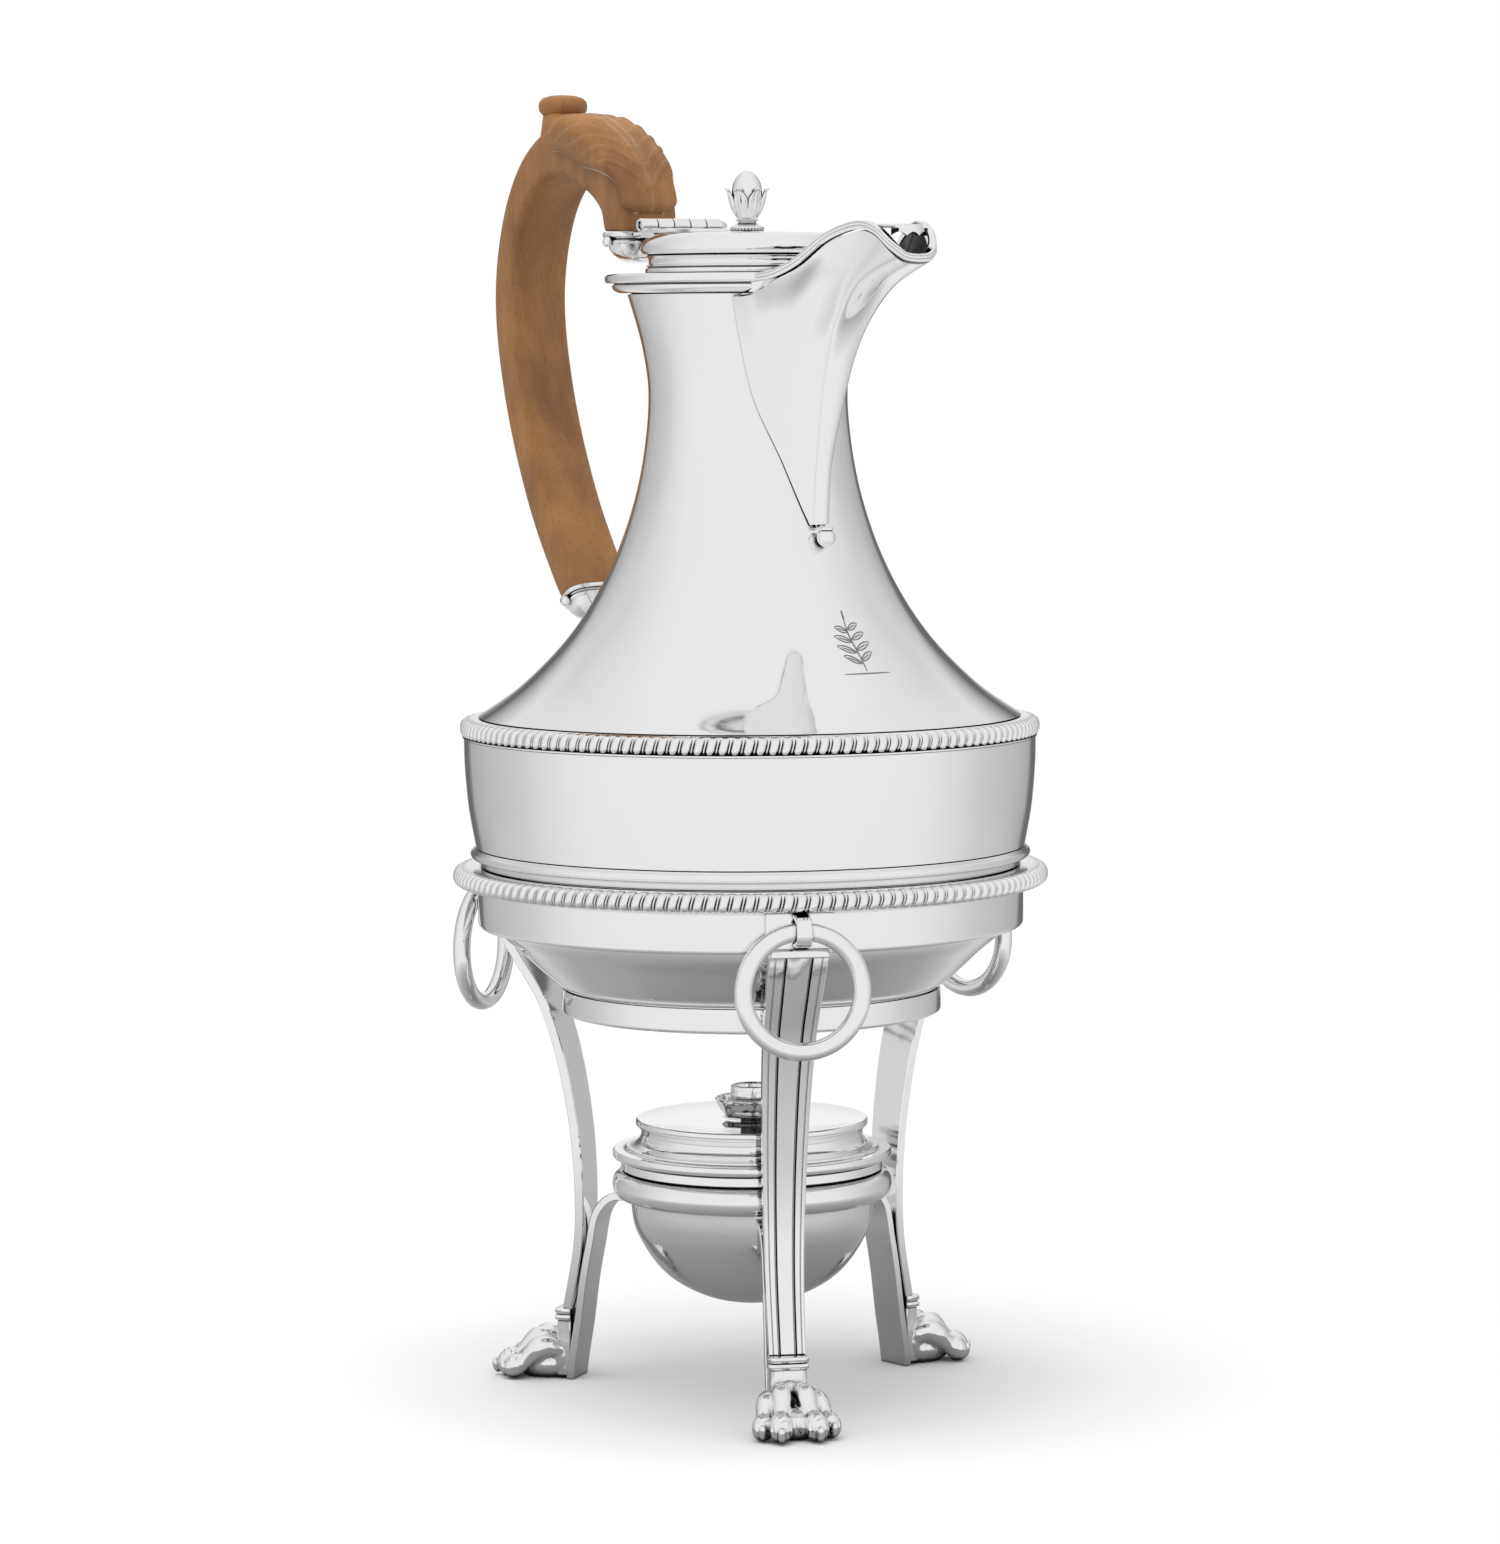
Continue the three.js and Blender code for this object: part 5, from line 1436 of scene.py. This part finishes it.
    def paw_flesh(self) -> Maker:
        """Returns the paw's toes, knuckles and pad, run together into one skin and cut flat underneath."""
        toes = [
            [(52.2, 2.2, 9.4, 2.0), (54.4, 2.6, 10.3, 2.2), (56.8, 2.9, 9.8, 2.6), (58.9, 3.2, 7.7, 2.3),
             (61.0, 3.7, 5.6, 2.0), (63.2, 4.2, 4.4, 2.8), (64.2, 4.4, 3.2, 3.0)],
            [(51.2, 4.0, 7.6, 2.4), (53.2, 5.2, 8.2, 2.7), (55.4, 6.1, 7.4, 2.9), (57.2, 6.9, 5.7, 2.3),
             (58.8, 7.4, 4.3, 2.2), (60.4, 7.9, 3.5, 2.8), (61.0, 8.1, 2.8, 2.7)],
        ]
        lumps = []
        for side in (-1, 1):
            for toe in toes:
                for x, y, z, r in through(toe, 20):
                    lumps.append(ball(at(x, y * side, z), (r, r, r), 12))
        for x, y, z, rx, ry, rz in ((50.2, 0, 5.5, 3.9, 5.4, 7.2), (55.5, 0, 3.4, 8.4, 6.6, 4.6),
                                    (48.9, 0, 2.6, 2.9, 4.9, 3.4), (49.0, 0, 7.5, 2.5, 4.6, 7.0)):
            lumps.append(ball(at(x, y, z), (rx, ry, rz), 24))
        flesh = join_pieces(lumps, "paw_flesh")
        apply_modifier(flesh, "REMESH", mode="VOXEL", voxel_size=0.32 * MM)
        apply_modifier(flesh, "SMOOTH", factor=0.5, iterations=2)
        for vertex in flesh.data.vertices:
            place = in_mm(vertex.co)
            tuft = ramp(place.x, 60.5, 63.5) * (1 - ramp(place.z, 3.8, 5.6))
            groove = 0.5 + 0.5 * math.cos(place.y * 6.2 + 0.8 * place.z)
            vertex.co.x -= 0.3 * MM * tuft * groove
            fur = (1 - ramp(place.z, 6.5, 9.5)) * ramp(abs(place.y), 2.2, 3.4) * (1 - tuft)
            vertex.co.z += 0.10 * MM * fur * math.sin(place.x * 5.1 + place.y * 2.3)
        clear_bench()
        bpy.context.view_layer.objects.active = flesh
        bpy.ops.object.mode_set(mode="EDIT")
        bpy.ops.mesh.select_all(action="SELECT")
        bpy.ops.mesh.bisect(plane_co=at(55, 0, 0), plane_no=(0, 0, 1), clear_inner=True, use_fill=True)
        return name_piece("paw_flesh")


# ---------------------------------------------------------------- lamp


@dataclass
class Lamp:
    """The spirit lamp: a pointed bowl, and a cover with the burner that lifts off to fill it."""

    bowl_body: str = "lamp"
    cover_body: str = "burner"

    def build(self) -> None:
        """Makes and places the lamp's pieces."""
        settle(self.bowl(), self.bowl_body, Finish.SHEET, "lamp_bowl")
        settle_each(
            self.cover_body, (self.cover, Finish.SHEET, "lamp_cover"), (self.dish, Finish.CAST, "burner_dish"),
            (self.cup, Finish.CAST, "wick_tube"), (self.wick, Finish.WICK, "wick"))

    def bowl(self) -> Maker:
        """Returns the bowl with the shoulder that rests on the stand's ring."""
        line = [(30.1, 48.5), (28.6, 40), (22, 30.2), (12, 24.2), (0, 21.7)]
        outer = through(line, 40)
        inner = []
        for i, (r, z) in enumerate(outer):
            way = heading(line, i / 40)
            inner.append((max(r + way.y * 1.2, 0), z - way.x * 1.2))
        inner[0], inner[-1] = (28.9, 48.5), (0.0, 22.9)
        shoulder = [(30.1, 55.7), (32.1, 55.7), (32.4, 56.0), (32.4, 57.9), (32.0, 58.3), (29, 58.3)]
        return turn("lamp_bowl_shell", outer[::-1] + shoulder + inner, 128, closes=False)

    def cover(self) -> Maker:
        """Returns the cover: a flange, a neck with a hollow moulding and a flat top with a thin lip."""
        edge = [(34 + 0.5 * math.cos(a), 59.7 + 1.05 * math.sin(a)) for a in (-1.5, -1.0, -0.5, 0, 0.5, 1.0, 1.45)]
        rise = through([
            (33.4, 60.75), (31.6, 60.9), (31.2, 61.5), (30.2, 61.7), (28.6, 62.4), (27.6, 63.6), (27.4, 64.9),
            (27.9, 66.1)], 22)
        return turn("lamp_cover_shell", [
            *edge, *rise, (28.4, 66.4), (28.65, 66.8), (28.7, 67.3), (28.6, 67.9), (28.3, 68.2), (27.7, 68.2),
            (27.2, 68.0), (12, 68.0), (3, 68.2), (3, 67.2), (26.2, 67.0), (26.4, 64.4), (27.2, 61.6), (27.4, 60.6),
            (27.4, 55.6),
            (28.4, 55.6), (28.4, 58.6)], 128, bevel=0.06)

    def dish(self) -> Maker:
        """Returns the burner's rough flared dish."""
        outer = through([(6.5, 68.5), (6.9, 69.2), (8.0, 70.6), (8.9, 72.4), (9.1, 73.1)], 12)
        inner = through([(8.5, 73.3), (8.0, 71.9), (6.9, 70.3), (5.6, 69.7), (3.2, 69.5)], 12)
        dish = turn("burner_dish_flare", [(3.2, 68.5), *outer, *inner], 64)
        return self.hammered(dish, 0.16)

    def cup(self) -> Maker:
        """Returns the wick's tube with its hammered cup."""
        cup = turn("wick_cup", [
            (2.6, 58), (2.6, 71.4), (3.6, 71.9), (4.9, 72.6), (5.2, 73.4), (5.0, 74.2), (5.15, 75.4), (5.1, 76.1),
            (4.7, 76.3), (4.2, 76.1), (4.1, 73.8), (1.9, 72.8), (1.9, 58)], 56)
        return self.hammered(cup, 0.2)

    @staticmethod
    def hammered(piece: Maker, depth: float) -> Maker:
        """Dents a piece all over, as after years of heat and trimming.

        Args:
            piece: A turned piece.
            depth: Depth of the dents in millimetres.

        Returns:
            The piece.
        """
        subdivide(piece, 1)
        for vertex in piece.data.vertices:
            place = in_mm(vertex.co)
            if place.z < 68.6:
                continue
            turn_ = math.atan2(place.y, place.x)
            dent = math.sin(turn_ * 11 + place.z * 4.1) * math.sin(place.z * 5.3 - turn_ * 7) * 0.6
            dent += math.sin(turn_ * 23 - place.z * 6.7) * 0.4
            share = 1 + depth * dent * 0.5 / max(math.hypot(place.x, place.y), 2)
            vertex.co = at(place.x * share, place.y * share, place.z)
        return smooth(piece, 60)

    def wick(self) -> Maker:
        """Returns the wick, frayed at its tip."""
        wick = turn("wick_braid", [
            (0, 30), (1.5, 30.2), (1.5, 45), (1.5, 60), (1.5, 72), (1.55, 74), (1.35, 75), (0.9, 75.5), (0, 75.3)], 24,
            closes=False)
        for vertex in wick.data.vertices:
            place = in_mm(vertex.co)
            strand = 1 + 0.05 * math.cos(math.atan2(place.y, place.x) * 6 + place.z)
            vertex.co = at(place.x * strand, place.y * strand, place.z)
        return smooth(wick, 60)


# ---------------------------------------------------------------- studio


@dataclass
class Studio:
    """A pale floor, soft light all round and the camera."""

    distance: float = 1249.5  # mm from the jug's axis
    height: float = 260.2  # mm above the table
    azimuth: float = -34.0  # degrees from the spout
    aim: float = 153.7  # mm above the table
    lens: float = 122.4
    roll: float = 0.3
    fill: float = 0.82  # light that reaches matt surfaces, where 1 is plain white

    def build(self) -> None:
        """Makes the floor, the room, the lights and the camera."""
        self.floor()
        self.room()
        self.lights()
        self.camera()
        bpy.context.scene.view_settings.view_transform = "Standard"

    def floor(self) -> None:
        """Lays a pale floor that is lost in the room's white away from the object."""
        clear_bench()
        bpy.ops.mesh.primitive_plane_add(size=30, location=(0, 0, 0))
        floor = bpy.context.object
        floor.name = "floor"
        material, tree, shader = new_material("matt_white_paper")
        path = add_node(tree, "ShaderNodeLightPath")
        tone = add_node(tree, "ShaderNodeMix", {
            0: path.outputs["Is Camera Ray"], 6: linear("#A4A4A4"), 7: linear("#F8F8F8")}, data_type="RGBA")
        plug(tree, shader, {"Base Color": tone.outputs[2], "Roughness": 1.0, "Specular IOR Level": 0.0})
        # The paper is lost in the white of the room a little way from the object, sooner for mirrors.
        place = add_node(tree, "ShaderNodeTexCoord").outputs["Object"]
        away = add_node(tree, "ShaderNodeVectorMath", {0: place}, operation="LENGTH")
        far = add_node(tree, "ShaderNodeMapRange", {"Value": away.outputs["Value"], "From Min": 0.12, "From Max": 0.3})
        seen = add_node(tree, "ShaderNodeMapRange", {"Value": away.outputs["Value"], "From Min": 0.1, "From Max": 0.26})
        gone = add_node(tree, "ShaderNodeMix", {
            0: path.outputs["Is Camera Ray"], 2: far.outputs[0], 3: seen.outputs[0]}, data_type="FLOAT")
        clear = add_node(tree, "ShaderNodeBsdfTransparent")
        paper = add_node(tree, "ShaderNodeMixShader", {0: gone.outputs[0], 1: shader.outputs[0], 2: clear.outputs[0]})
        tree.links.new(paper.outputs[0], tree.nodes["Material Output"].inputs["Surface"])
        floor.data.materials.append(material)

    def room(self) -> None:
        """Lights the room: plain white behind the object for the camera, even light for matt surfaces, and for
        mirrors a pale room in front, dimmer walls at the sides and a dark gap on each side of the backdrop."""
        world = bpy.data.worlds.new("studio")
        world.use_nodes = True
        bpy.context.scene.world = world
        tree = world.node_tree
        tree.nodes.clear()
        way = add_node(tree, "ShaderNodeTexCoord").outputs["Generated"]
        turn_ = math.radians(self.azimuth)
        level = add_node(tree, "ShaderNodeVectorMath", {0: way, 1: (1, 1, 0)}, operation="MULTIPLY")
        level = add_node(tree, "ShaderNodeVectorMath", {0: level.outputs[0]}, operation="NORMALIZE")
        front = add_node(tree, "ShaderNodeVectorMath", {
            0: level.outputs[0], 1: (math.cos(turn_), math.sin(turn_), 0)}, operation="DOT_PRODUCT")
        upward = add_node(tree, "ShaderNodeSeparateXYZ", {0: way})
        walls = self.ramp(tree, front.outputs["Value"], [
            (self.share(a), tone) for a, tone in (
                (180, 0.95), (174, 0.6), (169, 0.14), (157, 0.16), (151, 0.42), (142, 0.48), (130, 0.55),
                (110, 0.62), (92, 0.76), (78, 0.85), (64, 0.89), (0, 0.9))])
        higher = self.ramp(tree, front.outputs["Value"], [
            (self.share(a), tone) for a, tone in (
                (180, 0.9), (160, 0.82), (140, 0.7), (115, 0.7), (92, 0.8), (70, 0.88), (0, 0.9))])
        tilt = add_node(tree, "ShaderNodeMath", {0: upward.outputs["Z"]}, operation="ABSOLUTE")
        band = add_node(tree, "ShaderNodeMapRange", {"Value": tilt.outputs[0], "From Min": 0.2, "From Max": 0.45})
        around = add_node(tree, "ShaderNodeMix", {0: band.outputs[0], 2: walls, 3: higher}, data_type="FLOAT")
        overhead = add_node(tree, "ShaderNodeMapRange", {
            "Value": upward.outputs["Z"], "From Min": 0.55, "From Max": 0.9})
        tone = add_node(tree, "ShaderNodeMix", {
            0: overhead.outputs[0], 2: around.outputs[0], 3: 0.9}, data_type="FLOAT")
        path = add_node(tree, "ShaderNodeLightPath")
        mirrored = add_node(tree, "ShaderNodeMix", {
            0: path.outputs["Is Diffuse Ray"], 2: tone.outputs[0], 3: self.fill}, data_type="FLOAT")
        seen = add_node(tree, "ShaderNodeMix", {
            0: path.outputs["Is Camera Ray"], 2: mirrored.outputs[0], 3: 1.0}, data_type="FLOAT")
        soft = add_node(tree, "ShaderNodeBackground", {"Color": (1, 1, 1, 1), "Strength": seen.outputs[0]})
        add_node(tree, "ShaderNodeOutputWorld", {"Surface": soft.outputs[0]})

    @staticmethod
    def share(angle: float) -> float:
        """Returns the place on a ramp of a direction so many degrees from the camera's."""
        return (1 + math.cos(math.radians(angle))) / 2

    @staticmethod
    def ramp(tree: bpy.types.NodeTree, value: Any, stops: Sequence[Pair]) -> Any:
        """Turns a direction's share (-1 to 1) into a tone through stops of (place 0 to 1, tone)."""
        share = add_node(tree, "ShaderNodeMapRange", {"Value": value, "From Min": -1.0, "From Max": 1.0})
        curve = add_node(tree, "ShaderNodeValToRGB", {"Fac": share.outputs[0]})
        curve.color_ramp.interpolation = "LINEAR"
        marks = curve.color_ramp.elements
        while len(marks) < len(stops):
            marks.new(0.5)
        for mark, (place, tone) in zip(marks, stops):
            mark.position = place
            mark.color = (tone, tone, tone, 1)
        return curve.outputs["Color"]

    def lights(self) -> None:
        """Hangs a large soft box above the table."""
        light = bpy.data.lights.new("soft_box", "AREA")
        light.shape = "DISK"
        light.size = 1.6
        light.energy = 16
        lamp = bpy.data.objects.new("soft_box", light)
        lamp.location = AXIS + Vector((0.1, -0.3, 1.9))
        lamp.rotation_euler = (0.15, 0.05, 0)
        lamp.visible_glossy = False
        bpy.context.scene.collection.objects.link(lamp)

    def camera(self) -> None:
        """Sets the camera in front of the jug, a little above its middle."""
        turn_ = math.radians(self.azimuth)
        camera = bpy.data.objects.new("camera", bpy.data.cameras.new("camera"))
        camera.data.sensor_fit = "HORIZONTAL"
        camera.data.sensor_width = 36
        camera.data.lens = self.lens
        camera.location = at(self.distance * math.cos(turn_), self.distance * math.sin(turn_), self.height)
        way = at(0, 0, self.aim) - camera.location
        camera.rotation_mode = "QUATERNION"
        camera.rotation_quaternion = way.to_track_quat("-Z", "Y") @ Matrix.Rotation(
            math.radians(-self.roll), 3, "Z").to_quaternion()
        camera.data.clip_start, camera.data.clip_end = 0.05, 60
        bpy.context.scene.collection.objects.link(camera)
        bpy.context.scene.camera = camera


def main() -> None:
    """Builds the studio and then the object, piece by piece."""
    logging.basicConfig(level=logging.INFO, format="%(message)s")
    clear_bench()
    Studio().build()
    jug = Jug()
    for part in (jug, Spout(jug), Lid(), Hinge(), Handle(), Stand(), Lamp()):
        LOG.info("building %s", type(part).__name__)
        part.build()


if __name__ == "__main__":
    main()
